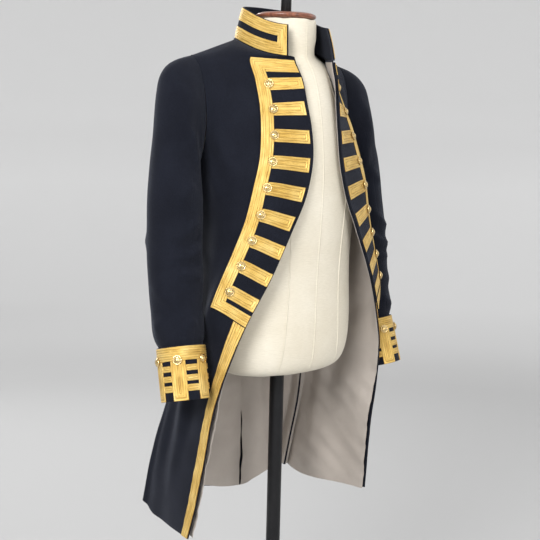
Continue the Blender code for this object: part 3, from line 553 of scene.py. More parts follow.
def tube_faces(rings, sides):
    """Faces of a tube of rings of points, closed at both ends."""
    faces = []
    for ring in range(rings - 1):
        for k in range(sides):
            a, b = ring * sides + k, ring * sides + (k + 1) % sides
            faces.append([a, b, b + sides, a + sides])
    last = (rings - 1) * sides
    return faces + [list(range(sides))[::-1], list(range(last, last + sides))]


def finish(thing, material, slot, *nodes):
    """Gives a piece its material and body, and hides the solids whose place it takes; slot is not
    used.
    """
    thing.data.materials.append(material)
    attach(thing, BODY)
    if nodes:
        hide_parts(*nodes)


# ---------------------------------------------------------------- materials
class Paint:
    """A material and its nodes.  Settings are the shader's constant inputs."""

    def __init__(self, name, settings):
        self.material = bpy.data.materials.new(name)
        self.material.use_nodes = True
        self.shader = self.material.node_tree.nodes["Principled BSDF"]
        for key, value in settings.items():
            self.shader.inputs[key].default_value = value

    def node(self, kind, **values):
        made = self.material.node_tree.nodes.new(kind)
        for key, value in values.items():
            if key in made.inputs:
                made.inputs[key].default_value = value
            else:
                setattr(made, key, value)
        return made

    def join(self, value, socket):
        """Links an output to a socket, or sets the socket to a plain number."""
        if isinstance(value, bpy.types.NodeSocket):
            self.material.node_tree.links.new(value, socket)
        else:
            socket.default_value = value

    def shade(self, **values):
        """Joins values to the shader's inputs; an underscore stands for a space."""
        for key, value in values.items():
            self.join(value, self.shader.inputs[key.replace("_", " ")])

    def place(self, kind="Object", scale=(1, 1, 1)):
        """Object or UV coordinates, stretched by scale."""
        mapping = self.node("ShaderNodeMapping", Scale=scale)
        self.join(self.node("ShaderNodeTexCoord").outputs[kind], mapping.inputs["Vector"])
        return mapping.outputs["Vector"]

    def noise(self, scale, detail, kind="Object", stretch=(1, 1, 1)):
        made = self.node("ShaderNodeTexNoise", Scale=scale, Detail=detail, Roughness=0.55)
        self.join(self.place(kind, stretch), made.inputs["Vector"])
        return made.outputs["Fac"]

    def wave(self, direction, scale, distortion):
        made = self.node("ShaderNodeTexWave", Scale=1.0, Distortion=distortion,
                         bands_direction=direction)
        self.join(self.place("UV", scale), made.inputs["Vector"])
        return made.outputs["Fac"]

    def bands(self, direction, pitch, distortion):
        """Soft bands along one of the UVs' directions, dark at 0."""
        scale = 1 / pitch * WAVE_PERIOD
        factors = (scale, 25.0, 1) if direction == "X" else (25.0, scale, 1)
        return self.wave(direction, factors, distortion)

    def ramp(self, value, *stops):
        """Colours, or greys given as one number, at places from 0 to 1."""
        made = self.node("ShaderNodeValToRGB")
        elements = made.color_ramp.elements
        while len(elements) < len(stops):
            elements.new(0.5)
        for element, (position, *colour) in zip(elements, stops):
            element.position = position
            element.color = (*(colour if len(colour) == 3 else colour * 3), 1)
        self.join(value, made.inputs["Fac"])
        return made.outputs["Color"]

    def product(self, first, *others):
        """Colours multiplied by one another."""
        for other in others:
            made = self.node("ShaderNodeMix", data_type="RGBA", blend_type="MULTIPLY")
            made.inputs[0].default_value = 1.0
            self.join(first, made.inputs[6])
            self.join(other, made.inputs[7])
            first = made.outputs[2]
        return first

    def math(self, operation, first, second):
        made = self.node("ShaderNodeMath", operation=operation)
        self.join(first, made.inputs[0])
        self.join(second, made.inputs[1])
        return made.outputs[0]

    def total(self, first, *weighted):
        """A height plus others, each given with its weight."""
        for value, weight in weighted:
            first = self.math("ADD", first, self.math("MULTIPLY", value, weight))
        return first

    def bump(self, height, strength, distance):
        made = self.node("ShaderNodeBump", Strength=strength, Distance=distance)
        self.join(height, made.inputs["Height"])
        self.shade(Normal=made.outputs["Normal"])


WAVE_PERIOD = 2 * math.pi / 20      # scale at which a wave texture has one band a metre


def broadcloth():
    """Milled navy wool: a felted face with a short nap and a faint blue bloom."""
    paint = Paint("navy_broadcloth", {
        "Roughness": 0.92, "Specular IOR Level": 0.11, "Sheen Weight": 0.14,
        "Sheen Roughness": 0.42, "Sheen Tint": (0.62, 0.66, 0.80, 1)})
    base = paint.ramp(paint.noise(14.0, 4.0), (0.30, 0.0062, 0.0072, 0.0118),
                      (0.72, 0.0102, 0.0118, 0.0186))
    fleck = paint.ramp(paint.noise(900.0, 2.0), (0.38, 0.64, 0.64, 0.67), (0.70, 1.55, 1.55, 1.52))
    paint.shade(Base_Color=paint.product(base, fleck))
    threads = (900 / 6.28 * 2, 900 / 6.28 * 2, 1)
    weave = paint.math("ADD", paint.wave("X", threads, 0.6), paint.wave("Y", threads, 0.6))
    paint.bump(paint.total(paint.noise(1500.0, 2.0), (weave, 0.25)), 0.45, 0.0007)
    return paint.material


def gold_lace():
    """Flat gold wire woven over silk: bright cords, with brown painted shade in the lines sunk
    between them and in the hollows of the fine ribs, and painted highlights and shade in lengthwise
    streaks.
    """
    paint = Paint("gold_lace", {"Metallic": 0.45, "Sheen Weight": 0.10,
                                "Sheen Tint": (1.0, 0.86, 0.55, 1)})
    grain = paint.noise(1.0, 2.0, "UV", (110, 1900, 1))
    streak = paint.noise(1.0, 2.0, "UV", (24, 620, 1))
    ribs = paint.bands("Y", 0.00105, 0.5)
    wire = paint.bands("X", 0.0011, 1.0)
    base = paint.ramp(paint.noise(30.0, 4.0), (0.30, 0.68, 0.440, 0.100),
                      (0.52, 0.80, 0.555, 0.160), (0.75, 0.88, 0.665, 0.245))
    # Painted highlights and shade: random lengthwise streaks along the lace, some lighter and bluer,
    # some darker.
    streak_light_and_shade = paint.ramp(streak, (0.32, 0.66, 0.56, 0.38), (0.47, 0.98, 0.97, 0.95),
                      (0.68, 1.10, 1.13, 1.22))
    # Painted shade: brown darkening along the lines sunk between the cords, at the lace's edge and
    # at each cord's width in.
    line = paint.total(paint.bands("Y", LACE_CORD, 0.35), (paint.noise(75.0, 2.0), 0.16))
    sunk = paint.ramp(line, (0.07, 0.42, 0.32, 0.18), (0.17, 0.90, 0.87, 0.80), (0.32, 1.0))
    # Painted shade: the hollows of the fine ribs, where the bump is lowest, are darkened.
    fine = paint.ramp(paint.math("MULTIPLY", ribs, grain), (0.02, 0.82, 0.77, 0.66), (0.22, 1.0))
    paint.shade(Base_Color=paint.product(base, streak_light_and_shade, sunk, fine),
                Roughness=paint.ramp(grain, (0.3, 0.50), (0.7, 0.33)))
    paint.bump(paint.total(ribs, (grain, 1.2), (wire, 0.35)), 0.55, 0.0005)
    return paint.material


def brass():
    paint = Paint("gilt_brass", {"Metallic": 1.0})
    cloud = paint.noise(220.0, 4.0)
    paint.shade(Base_Color=paint.ramp(cloud, (0.30, 0.46, 0.31, 0.11), (0.55, 0.78, 0.58, 0.27),
                                      (0.80, 0.93, 0.79, 0.48)),
                Roughness=paint.ramp(cloud, (0.3, 0.36), (0.7, 0.19)))
    paint.bump(paint.noise(420.0, 3.0), 0.55, 0.0006)
    return paint.material


def lining_cloth():
    paint = Paint("lining_twill", {"Roughness": 0.74, "Sheen Weight": 0.18,
                                   "Sheen Roughness": 0.4})
    paint.shade(Base_Color=paint.ramp(paint.noise(7.0, 4.0), (0.28, 0.34, 0.298, 0.262),
                                      (0.75, 0.46, 0.412, 0.368)))
    twill = paint.math("MULTIPLY", paint.wave("DIAGONAL", (420, 420, 1), 0.5), 0.12)
    paint.bump(paint.total(twill, (paint.noise(38.0, 3.0), 1.4)), 0.5, 0.0022)
    return paint.material


def linen():
    paint = Paint("form_linen", {"Roughness": 0.88, "Sheen Weight": 0.12})
    slub = paint.noise(1.0, 3.0, "Object", (110, 110, 1500))
    base = paint.ramp(paint.noise(9.0, 4.0), (0.28, 0.66, 0.60, 0.48), (0.75, 0.76, 0.71, 0.60))
    thread = paint.ramp(slub, (0.35, 0.93, 0.925, 0.91), (0.62, 1.02))
    paint.shade(Base_Color=paint.product(base, thread))
    warp = paint.noise(1.0, 2.0, "Object", (1100, 1100, 90))
    paint.bump(paint.math("ADD", warp, slub), 0.35, 0.0008)
    return paint.material


def wood():
    paint = Paint("cap_wood", {"Roughness": 0.38, "Coat Weight": 0.4, "Coat Roughness": 0.2})
    grain = paint.noise(1.0, 5.0, "Object", (40, 260, 40))
    paint.shade(Base_Color=paint.ramp(grain, (0.30, 0.10, 0.028, 0.014),
                                      (0.55, 0.24, 0.075, 0.036), (0.75, 0.34, 0.13, 0.065)))
    paint.bump(grain, 0.15, 0.0005)
    return paint.material


def black_paint():
    paint = Paint("black_paint", {"Specular IOR Level": 0.3})
    cloud = paint.noise(40.0, 4.0)
    paint.shade(Base_Color=paint.ramp(cloud, (0.3, 0.004, 0.004, 0.005),
                                      (0.75, 0.009, 0.009, 0.010)),
                Roughness=paint.ramp(cloud, (0.3, 0.46), (0.7, 0.32)))
    paint.bump(paint.noise(700.0, 2.0), 0.12, 0.0004)
    return paint.material


NAVY = broadcloth()
GOLD = gold_lace()
BRASS = brass()
TWILL = lining_cloth()
LINEN = linen()
WOOD = wood()
BLACK = black_paint()


# ---------------------------------------------------------------- fronts and backs
PANEL_STEP = 0.085          # columns between the lines of a panel
PLEAT_STEP = 0.035          # the same by the pleat at the side seam
ROW_STEP = 0.11
LINING_STEP = 0.07
PANEL_TOP = TOP_ROW - 0.006
FACING_TOP = 13.0
EDGE_COLUMNS = 0.011        # width of a back's turned edge, in columns
EDGE_ROWS = 0.0125          # height of one, in rows
STITCH_PITCH = 0.0034
STITCH_RADIUS = 0.00022


def panel(columns, rows, to_front, side, lapped=False):
    return coat_surface(*np.meshgrid(columns, rows, indexing="ij"), to_front, side, lapped)


def navy_wall(name, points, normals, low, high, side, closed=False):
    finish(round_wall(name, points, normals, low, high, side, closed), NAVY, "navy_cloth", name)


def lace_wall(name, points, normals, low, high, side, **ways):
    finish(wall(name, points, normals, low, high, side, **ways), GOLD, "gold_lace", name)


def nearest(values, value):
    return int(np.argmin(np.abs(values - value)))


def pleated_columns(low, high, coarse=PANEL_STEP):
    """Columns that lie closer together by the pleat at the side seam."""
    marks = sorted({low, high, *[c for c in (1, 2, 3, 3.35, 4.65, 5) if low < c < high]})
    columns = []
    for start, stop in zip(marks, marks[1:]):
        step = PLEAT_STEP if start >= 3.35 and stop <= 4.65 else coarse
        columns += list(spread((start, stop), step))[:-1]
    return np.array(columns + [high])


def make_front(side):
    columns = pleated_columns(0.0, 4 + SEAM_LAP)
    rows = spread((0, 5, 9, PANEL_TOP), ROW_STEP)
    navy_wall("front_" + side, *panel(columns, rows, True, side), -CLOTH, 0, side)
    columns = {*pleated_columns(0.02, 4.0, 0.07).tolist(), 0.06, 0.09, FACING_COLUMN,
               SIDE_LINING[1]}
    marks = (HEM_TURN, LINING_TOP, SIDE_LINING[0], FACING_TOP)
    make_lining("front_lining_" + side, np.array(sorted(columns)), marks, side, True)


def make_lining(name, columns, marks, side, to_front=False):
    """Lining of the skirts and, on a front, of the side and the facing above them."""
    rows = spread(marks, LINING_STEP)
    points, normals = panel(columns, rows, to_front, side)
    sag = lining_sag(points, columns, side)
    covered = np.ones((len(columns) - 1, len(rows) - 1), bool)
    if to_front:
        sag = sag + edge_puckers(points, columns)
        column, row = np.meshgrid(middles(columns), middles(rows), indexing="ij")
        covered = (row < LINING_TOP) | (column < FACING_COLUMN)
        covered |= (row < SIDE_LINING[0]) & (column < SIDE_LINING[1])
    outer = points + normals * (-CLOTH - GAP - sag)[..., None]
    inner = outer - normals * LINING
    if to_front:
        stitch_row(name + "_felling", inner[1], -normals[1], side, TWILL, "lining")
    stitch_row(name + "_hem", inner[2:-2, 1], -normals[2:-2, 1], side, TWILL, "lining")
    finish(slab(name, on_side(outer, side), on_side(inner, side), covered), TWILL, "lining", name)


def lining_sag(points, columns, side):
    """How far the lining hangs away from the cloth, in its own soft wrinkles."""
    x, y, z = np.moveaxis(points, -1, 0)
    shift = 0.4 if side == "right" else 1.9
    below = ease((0.865 - z) / 0.06) * ease((np.abs(columns - 4) - 0.30) / 0.6)[:, None]
    folds = np.sin(70 * (x + 0.8 * y) + 6 * z + shift) * np.sin(8 * z + 17 * y + 1.0 + shift)
    creases = np.abs(np.sin(38 * z + 46 * x - 30 * y + shift)) * np.sin(23 * z - 31 * y + shift)
    crumple = np.sin(120 * z + 60 * x + shift) * np.sin(90 * x - 75 * y + 30 * z)
    in_pleat = 0.0004 * np.exp(-((columns - 4) / 0.09) ** 2)[:, None]
    depth = 0.0056 + 0.0028 * folds + 0.0030 * creases + 0.0011 * crumple
    return 0.0003 + in_pleat + below * depth


def edge_puckers(points, columns):
    """Small puckers where the lining is felled along the coat's edge."""
    z = points[..., 2]
    near = np.exp(-((columns - 0.06) / 0.11) ** 2)[:, None]
    waves = np.sin(2 * np.pi * z / 0.021) + 0.6 * np.sin(2 * np.pi * z / 0.034 + 1)
    return near * ease((0.95 - z) / 0.1) * 0.0006 * (1.6 + waves)


def back_borders(points, columns, rows, lapped):
    """Distance of a back's points to its nearest border, and the cells that it covers."""
    covered = np.ones((len(columns) - 1, len(rows) - 1), bool)
    across, upward = walks(points, 0), walks(points, 1)
    to_centre = np.abs(across[nearest(columns, 6.0)] - across)
    if lapped:
        flap = columns > 6.001
        below = rows <= VENT_TOP + 1e-6
        covered = ~flap[1:, None] | below[1:]
        to_centre = np.where(below, across[-1] - across, to_centre)
        to_vent = np.abs(upward[:, [nearest(rows, VENT_TOP)]] - upward)
        to_centre = np.where(flap[:, None], np.minimum(to_centre, to_vent), to_centre)
    return np.minimum(np.minimum(across, to_centre), to_ends(upward, 1)), covered


def make_back(side):
    """A back panel; the right one has a flap that laps over the left one at the vent."""
    lapped = side == "right"
    start, end = 4 - SEAM_LAP, 6.0
    columns = edged(pleated_columns(start, end), start, end, EDGE_COLUMNS)
    if lapped:
        width = VENT_COLUMN - 6
        flap = end + 0.004 + edged(spread((0, width), 0.09), 0, width, EDGE_COLUMNS)
        columns = np.concatenate([columns, flap])
    rows = edged(spread((0, VENT_TOP, PANEL_TOP), ROW_STEP), 0, PANEL_TOP, EDGE_ROWS)
    rows = np.array(sorted({*rows.tolist(), VENT_TOP - EDGE_ROWS, VENT_TOP - 0.0056, VENT_TOP}))
    points, normals = panel(columns, rows, False, side, lapped)
    far, covered = back_borders(points, columns, rows, lapped)
    radius = CLOTH / 2
    half = radius * rounding(far, radius)
    name = "back_" + side
    piece = wall(name, points, normals, -radius - half, half - radius, side, covered=covered)
    finish(piece, NAVY, "navy_cloth", name)
    columns_inside = pleated_columns(4.0, 6.0 if lapped else 5.978, 0.09)
    make_lining("back_lining_" + side, columns_inside, (HEM_TURN, LINING_TOP), side)
    if lapped:
        line = nearest(columns, VENT_COLUMN - 0.06)
        span = slice(nearest(rows, 0.08), nearest(rows, VENT_TOP))
        stitch_row("vent_stitching", points[line, span], normals[line, span], side, NAVY,
                   "navy_cloth")


def stitch_row(name, path, normals, side, material, slot):
    """A row of small raised stitches along a path that lies on a surface."""
    walked = walks(path, 0)
    starts = np.arange(STITCH_PITCH / 2, walked[-1] - STITCH_PITCH, STITCH_PITCH)

    def at(distance, values):
        return np.stack([np.interp(distance, walked, values[:, k]) for k in range(3)], axis=1)

    first, last = at(starts, path), at(starts + STITCH_PITCH * 0.68, path)
    out = unit(at(starts, normals))
    middle = (first + last) / 2
    across = unit(np.cross(out, last - first)) * STITCH_RADIUS
    lift = out * STITCH_RADIUS
    shapes = np.stack([first - lift * 0.5, middle + across, middle + lift * 1.5,
                       middle - across, middle - lift, last - lift * 0.5], axis=1)
    faces = []
    for n in range(0, 6 * len(starts), 6):
        for a, b in ((1, 2), (2, 3), (3, 4), (4, 1)):
            faces += [[n, n + a, n + b], [n + 5, n + b, n + a]]
    finish(mesh_object(name, on_side(shapes.reshape(-1, 3), side), faces), material, slot)


# ---------------------------------------------------------------- lapels and their lace
LACE_STEP = 0.00085         # distance between the lines of a lace's mesh
LOOP_END_SPAN = 0.0135      # length of a loop's end that gets such fine lines
SHORT_LOOP_LINE = 3         # line of the mesh at which the shorter loops end
GROOVE = 0.0007             # half width of the line sunk along the middle of a loop


def lapel_rows():
    """Distances down the lapel of its lace edges, and what each space holds."""
    edges = [0, LAPEL_RIM, LAPEL_RIM + LAPEL_TOP_BAND]
    kinds = ["rim", "band"]
    for k in range(LAPEL_LOOPS):
        start = LAPEL_FIRST + k * LAPEL_PITCH
        edges += [start, start + LAPEL_LOOP]
        kinds += ["space", "full loop" if k + 1 in FULL_LOOPS else "loop"]
    start = edges[-1] + LAPEL_LAST
    edges += [start, start + LAPEL_FOOT_BAND, start + LAPEL_FOOT_BAND + LAPEL_RIM]
    return edges, kinds + ["space", "band", "rim"]


def plain_at(column, rows):
    return plain_cloth(np.full(len(rows), column), rows, np.ones(len(rows), bool), False)


def lapel_width(rows):
    return np.linalg.norm(plain_at(1.0, rows) - plain_at(0.0, rows), axis=1)


def rows_down(distances):
    """Rows of the coat at distances down the lapel, measured on the line of its buttons."""
    rows = np.linspace(TOP_ROW - 1, PLEAT_TOP, 161)
    walked = walks(plain_at(BUTTON_COLUMN, rows), 0)
    return np.interp(distances, walked * lapel_rows()[0][-1] / walked[-1], rows)


def rib(depth):
    """Height of the lace at a distance from its edge: flat cords with sunk lines between."""
    height = 0.00080 + 0.00034 * np.abs(np.sin(np.pi * depth / LACE_CORD))
    for line in (LACE_CORD, 2 * LACE_CORD):
        height = height - 0.00030 * np.exp(-((depth - line) / 0.0006) ** 2)
    return height - 0.00045 * np.exp(-(depth / 0.0004) ** 2)


def make_lapel(side):
    edges, kinds = lapel_rows()
    rows = rows_down(spread((0, edges[-1]), 0.007))[::-1]
    points, normals = panel(spread((0.008, 1.0), 0.05), rows, True, side)
    navy_wall("lapel_" + side, points, normals, LAPEL_GAP, LAPEL_GAP + CLOTH, side)
    make_lapel_lace(side, edges, kinds)


def lace_lines(edges, kinds):
    """Distances down the lapel's lace, and for each cell the space that it lies in."""
    down, marks = [edges[1]], []
    for k, kind in enumerate(kinds):
        if kind != "rim":
            step = 0.004 if kind == "space" else LACE_STEP
            values = spread(edges[k:k + 2], step)[1:].tolist()
            down += values
            marks += [k] * len(values)
    return np.array(down), np.array(marks)


def lace_columns(width, band_edge):
    """Columns of the lapel's lace for each row, and the line at which its outer band starts."""
    short = LOOP_END + LOOP_END_SPAN / width
    spans = ((FULL_LOOP_END, LOOP_END, (0, 0.33, 0.66)),
             (LOOP_END, short, spread((0, 1), LACE_STEP / LOOP_END_SPAN)),
             (short, band_edge, spread((0, 1), 0.09)[1:]),
             (band_edge, LAPEL_RIM_COLUMN, spread((0, 1), LACE_STEP / LAPEL_BAND)[1:]))
    columns = [low + (high - low) * share + np.zeros_like(width)
               for low, high, shares in spans for share in shares]
    return np.stack(columns), sum(len(shares) for _, _, shares in spans[:3]) - 1


def make_lapel_lace(side, edges, kinds):
    down, marks = lace_lines(edges, kinds)
    rows = rows_down(down)
    width = lapel_width(rows)
    band_edge = 1 - LAPEL_BAND / width
    columns, first_band = lace_columns(width, band_edge)
    grid_rows = np.broadcast_to(rows, columns.shape)
    points, normals = coat_surface(columns[:, ::-1], grid_rows[:, ::-1], True, side)

    from_outer = (LAPEL_RIM_COLUMN - columns) * width
    from_top = np.broadcast_to(down - edges[1], columns.shape)
    from_ends = np.minimum(from_top, edges[-2] - down)
    contour = np.minimum(from_outer, from_ends)
    depth = np.abs(np.minimum(contour, (LAPEL_RIM_COLUMN - band_edge) * width - contour))
    height = rib(depth)
    walked = np.where(from_outer < from_ends, from_top, from_outer)
    covered = np.zeros((len(columns) - 1, len(rows) - 1), bool)
    first_lines = {"space": first_band, "band": 0, "full loop": 0, "loop": SHORT_LOOP_LINE}
    inside_band = np.arange(len(columns))[:, None] < first_band
    for k, kind in enumerate(kinds):
        cells = marks == k
        covered[first_lines.get(kind, 0):, cells] = True
        if "loop" in kind:
            lies = inside_band & (np.append(cells, False) | np.append(False, cells))
            from_end = (columns - (FULL_LOOP_END if kind == "full loop" else LOOP_END)) * width
            inward = np.minimum(np.minimum(down - edges[k], edges[k + 1] - down), from_end)
            inward = np.maximum(inward, 0)
            groove = np.exp(-((inward - LAPEL_LOOP / 2) / GROOVE) ** 2) * (from_end > 0.011)
            height = np.where(lies, rib(inward) - 0.00050 * groove, height)
            walked = np.where(lies, from_end, walked)
            depth = np.where(lies, inward, depth)
    low = LAPEL_GAP + CLOTH + GAP
    lace_wall("lapel_lace_" + side, points[:, ::-1], normals[:, ::-1], low, low + height, side,
              covered=covered, uv=np.stack([walked, depth], axis=-1))


def make_skirt_lace(side):
    low_column, high_column = SKIRT_LACE_COLUMNS
    rows = spread((0.01, 4.8, PLEAT_TOP + 0.12), 0.04)
    width = lapel_width(rows) * (high_column - low_column)
    shares = spread((0, 1), LACE_STEP / 0.023)
    columns = low_column + (high_column - low_column) * shares
    across = shares[:, None] * width
    contour = np.minimum(across, width - across)
    walked = rows * 0.085
    pucker = np.sin(2 * np.pi * walked / 0.031) * np.sin(2 * np.pi * walked / 0.117 + 0.6)
    height = rib(contour) + 0.00045 * (1 + pucker) * ease((4.7 - rows) / 0.3)
    low = 3 * GAP - 2 * GAP * ease((rows - 4.8) / 0.15)
    uv = np.stack([np.broadcast_to(walked, across.shape), contour], axis=-1)
    lace_wall("skirt_lace_" + side, *panel(columns, rows, True, side), low - GAP, low + height,
              side, uv=uv)


# ---------------------------------------------------------------- collar
COLLAR_LACE_TUCK = 0.0012
COLLAR_RIM = 0.0016         # navy edge left outside the lace at the collar's ends


def collar_surface(steps):
    """Grid round the collar from the right end to the left end and up its height."""
    front = spread((COLLAR_END, 2), 0.03)
    back = spread((5, 6), 0.04)[1:]
    half = top_edge(np.concatenate([front, back]))
    stations = np.concatenate([half[:-1] * np.array((-1, 1, 1)), half[::-1]])
    for _ in range(COLLAR_SMOOTHING):
        stations[1:-1] += (stations[2:] + stations[:-2] - 2 * stations[1:-1]) / 4
    centre = np.array((0, 0.005, 0))
    flat = np.array((1, 1, 0))
    inward = unit((centre - stations) * flat) * COLLAR_LEAN
    rise = math.sqrt(COLLAR_HEIGHT ** 2 - COLLAR_LEAN ** 2)
    slant = (inward + np.array((0, 0, rise))) / COLLAR_HEIGHT
    start = stations + np.array((0, 0, COLLAR_SEAT))
    outward = unit(np.cross(slant, np.gradient(stations, axis=0) * flat))
    facing = np.sum(outward * (stations - centre) * flat, axis=1, keepdims=True)
    outward = np.where(facing < 0, -outward, outward)
    points = start[:, None] + slant[:, None] * steps[None, :, None]
    normals = np.broadcast_to(outward[:, None], points.shape)
    roll = 0.0012 * np.sin(np.pi * steps / COLLAR_HEIGHT)
    return points + normals * roll[None, :, None], normals


def make_collar():
    steps = spread((-COLLAR_TUCK, COLLAR_HEIGHT), 0.003)
    navy_wall("collar", *collar_surface(steps), -COLLAR_CLOTH, 0, "left")

    steps = spread((-COLLAR_LACE_TUCK,) + COLLAR_STEPS[1:4], 0.0009)
    points, normals = collar_surface(steps)
    walked = walks(points[:, 0], 0)
    from_end = to_ends(walked, 0) - COLLAR_RIM
    kept = from_end > -0.0001
    points, normals, from_end, walked = (v[kept] for v in (points, normals, from_end, walked))
    to_top = COLLAR_STEPS[3] - steps
    contour = np.minimum(from_end[:, None], np.minimum(steps + COLLAR_LACE_TUCK, to_top))
    depth = np.abs(np.minimum(contour, COLLAR_END_LACE - contour))
    up = middles(steps)
    covered = (middles(from_end)[:, None] < COLLAR_END_LACE) | (up < COLLAR_STEPS[1])
    covered |= up > COLLAR_STEPS[2]
    upright = from_end[:, None] < np.minimum(steps, to_top)
    uv = np.stack([np.where(upright, steps, walked[:, None]), depth], axis=-1)
    lace_wall("collar_lace", points, normals, GAP, GAP + rib(depth), "left", covered=covered,
              uv=uv)


# ---------------------------------------------------------------- sleeves and cuffs
CUFF_LENGTH = float(np.linalg.norm(CUFF_BOTTOM - CUFF_TOP))
CUFF_AXIS = (CUFF_BOTTOM - CUFF_TOP) / CUFF_LENGTH
CUFF_OUT = unit(np.array((1, 0, 0)) - CUFF_AXIS * CUFF_AXIS[0])
CUFF_FORWARD = np.cross(CUFF_AXIS, CUFF_OUT) * (-1 if np.cross(CUFF_AXIS, CUFF_OUT)[1] > 0 else 1)
CUFF_END = 0.001            # distance by which the sleeve's end keeps clear of the cuff's
CREASE_PARTS = 16           # straight parts of a crease that bends round a sleeve


def cuff_surface(degrees, down, inset=0.0):
    """Points and outward directions on the cuff, for arrays of angles and distances down."""
    share = down / CUFF_LENGTH
    radius = CUFF_TOP_RADIUS * (1 - share) + CUFF_BOTTOM_RADIUS * share - inset
    angle = np.radians(degrees)[..., None]
    spoke = CUFF_OUT * np.cos(angle) + CUFF_FORWARD * np.sin(angle)
    return CUFF_TOP + CUFF_AXIS * down[..., None] + spoke * radius[..., None], spoke


def sleeve_controls(degrees):
    """Control points of lengthwise lines of the sleeve, armhole first, one line an angle."""
    angle = np.radians(degrees)[:, None]
    lines = [armhole(180 - degrees, np.ones(len(degrees), bool)) + np.array((SLEEVE_START, 0, 0))]
    for (out_x, out_z), (in_x, in_z), centre_y, half, rise in SLEEVE_RINGS:
        centre = np.array(((out_x + in_x) / 2, centre_y, (out_z + in_z) / 2))
        spread_out = np.array(((out_x - in_x) / 2, 0, (out_z - in_z) / 2))
        lines.append(centre + spread_out * np.cos(angle)
                     + np.array((0, -half, rise)) * np.sin(angle))
    inset = CUFF_CLOTH + 2 * GAP + 0.0006
    for down in (-CUFF_END, CUFF_LENGTH - CUFF_END):
        lines.append(cuff_surface(degrees, np.full(len(degrees), down), inset)[0])
    return np.stack(lines, axis=1)


def sleeve_points(degrees, positions):
    controls = sleeve_controls(degrees)
    slopes = slopes_of(controls)
    i = np.clip(np.floor(positions).astype(int), 0, controls.shape[1] - 2)
    t = np.broadcast_to(positions - i, (len(degrees), len(positions)))
    return hermite(controls[:, i], controls[:, i + 1], slopes[:, i], slopes[:, i + 1], t)


def sleeve_creases(side):
    positions = np.linspace(0, len(SLEEVE_RINGS) + 1, 240)
    made = []
    for a0, z0, a1, z1, width, height, where in SLEEVE_FOLDS:
        if where in ("both", side):
            angles = np.array((a0, a1, (a0 + a1) / 2), float)
            first, last, between = sleeve_points(angles, positions)
            start, end = first[nearest(first[:, 2], z0)], last[nearest(last[:, 2], z1)]
            away = np.linalg.norm(between - (start + end) / 2, axis=1)
            path = np.array([start, between[np.argmin(away)], end])
            made.append((path, width, height * SLEEVE_FOLD_STRENGTH))
    return made


def bent_crease_field(points, creases):
    """As crease_field, for creases that bend round a tube through a middle point."""
    total = np.zeros(len(points))
    for path, width, height in creases:
        stations = along(path, np.linspace(0, 2, CREASE_PARTS + 1))
        gap = np.linalg.norm(points[:, None, :] - stations[None, :, :], axis=2)
        away = np.full(len(points), 1.0)
        for start, stop in zip(stations, stations[1:]):
            piece = stop - start
            t = np.clip((points - start) @ piece / (piece @ piece), 0, 1)
            away = np.minimum(away, np.linalg.norm(points - (start + t[:, None] * piece), axis=1))
        place = np.argmin(gap, axis=1) / CREASE_PARTS
        taper = ease(place * 3.5 + 0.1) * ease((1 - place) * 3.0 + 0.1)
        total += height * taper * np.exp(-(away / width) ** 2)
    return total


def tube_normals(points, guide):
    """Directions square to a grid, on the side that the guide points to."""
    normals = unit(np.cross(np.gradient(points, axis=1), np.gradient(points, axis=0)))
    facing = np.sum(normals * guide, axis=-1, keepdims=True)
    return np.where(facing < 0, -normals, normals)


def make_sleeve(side):
    positions = spread((-0.07, 2, 6, 12, 14, 15), 0.09)
    positions = positions[positions <= 14.98]
    free = ease(positions / 1.5) * ease((13.6 - positions) / 0.8)
    creases = sleeve_creases(side)
    for name, start, lap in (("topsleeve_", -90, 0.0), ("undersleeve_", 90, 1.2)):
        degrees = spread((start - lap, start + 180 + lap), 4.0)
        points = sleeve_points(degrees, positions)
        normals = tube_normals(points, points - sleeve_points(degrees + 180, positions))
        flat = points.reshape(-1, 3)
        lift = bent_crease_field(flat, creases) + ripples(flat, side)
        points = points + normals * (lift.reshape(points.shape[:2]) * free)[..., None]
        navy_wall(name + side, points, tube_normals(points, normals), -CLOTH, 0, side)


def cuff_lace_cells():
    """Angles and distances down of the cuff's lace, and the cells that it covers."""
    half = CUFF_LOOP_WIDTH / 2
    degrees, in_loop = [], []
    following = CUFF_LOOP_ANGLES[1:] + (CUFF_LOOP_ANGLES[0] + 360,)
    for centre, after in zip(CUFF_LOOP_ANGLES, following):
        inside = spread((centre - half, centre, centre + half), 1.3)[:-1].tolist()
        between = spread((centre + half, after - half), 3.5)[:-1].tolist()
        degrees += inside + between
        in_loop += [True] * len(inside) + [False] * len(between)
    down, is_open = [CUFF_STEPS[1]], []
    for k in range(1, len(CUFF_STEPS) - 1):
        values = spread(CUFF_STEPS[k:k + 2], 0.0009 if k == 1 else 0.0013)[1:].tolist()
        down += values
        is_open += [k in CUFF_OPEN_ROWS] * len(values)
    covered = np.array(in_loop)[:, None] | ~np.array(is_open)
    return np.array(degrees), np.array(down), covered


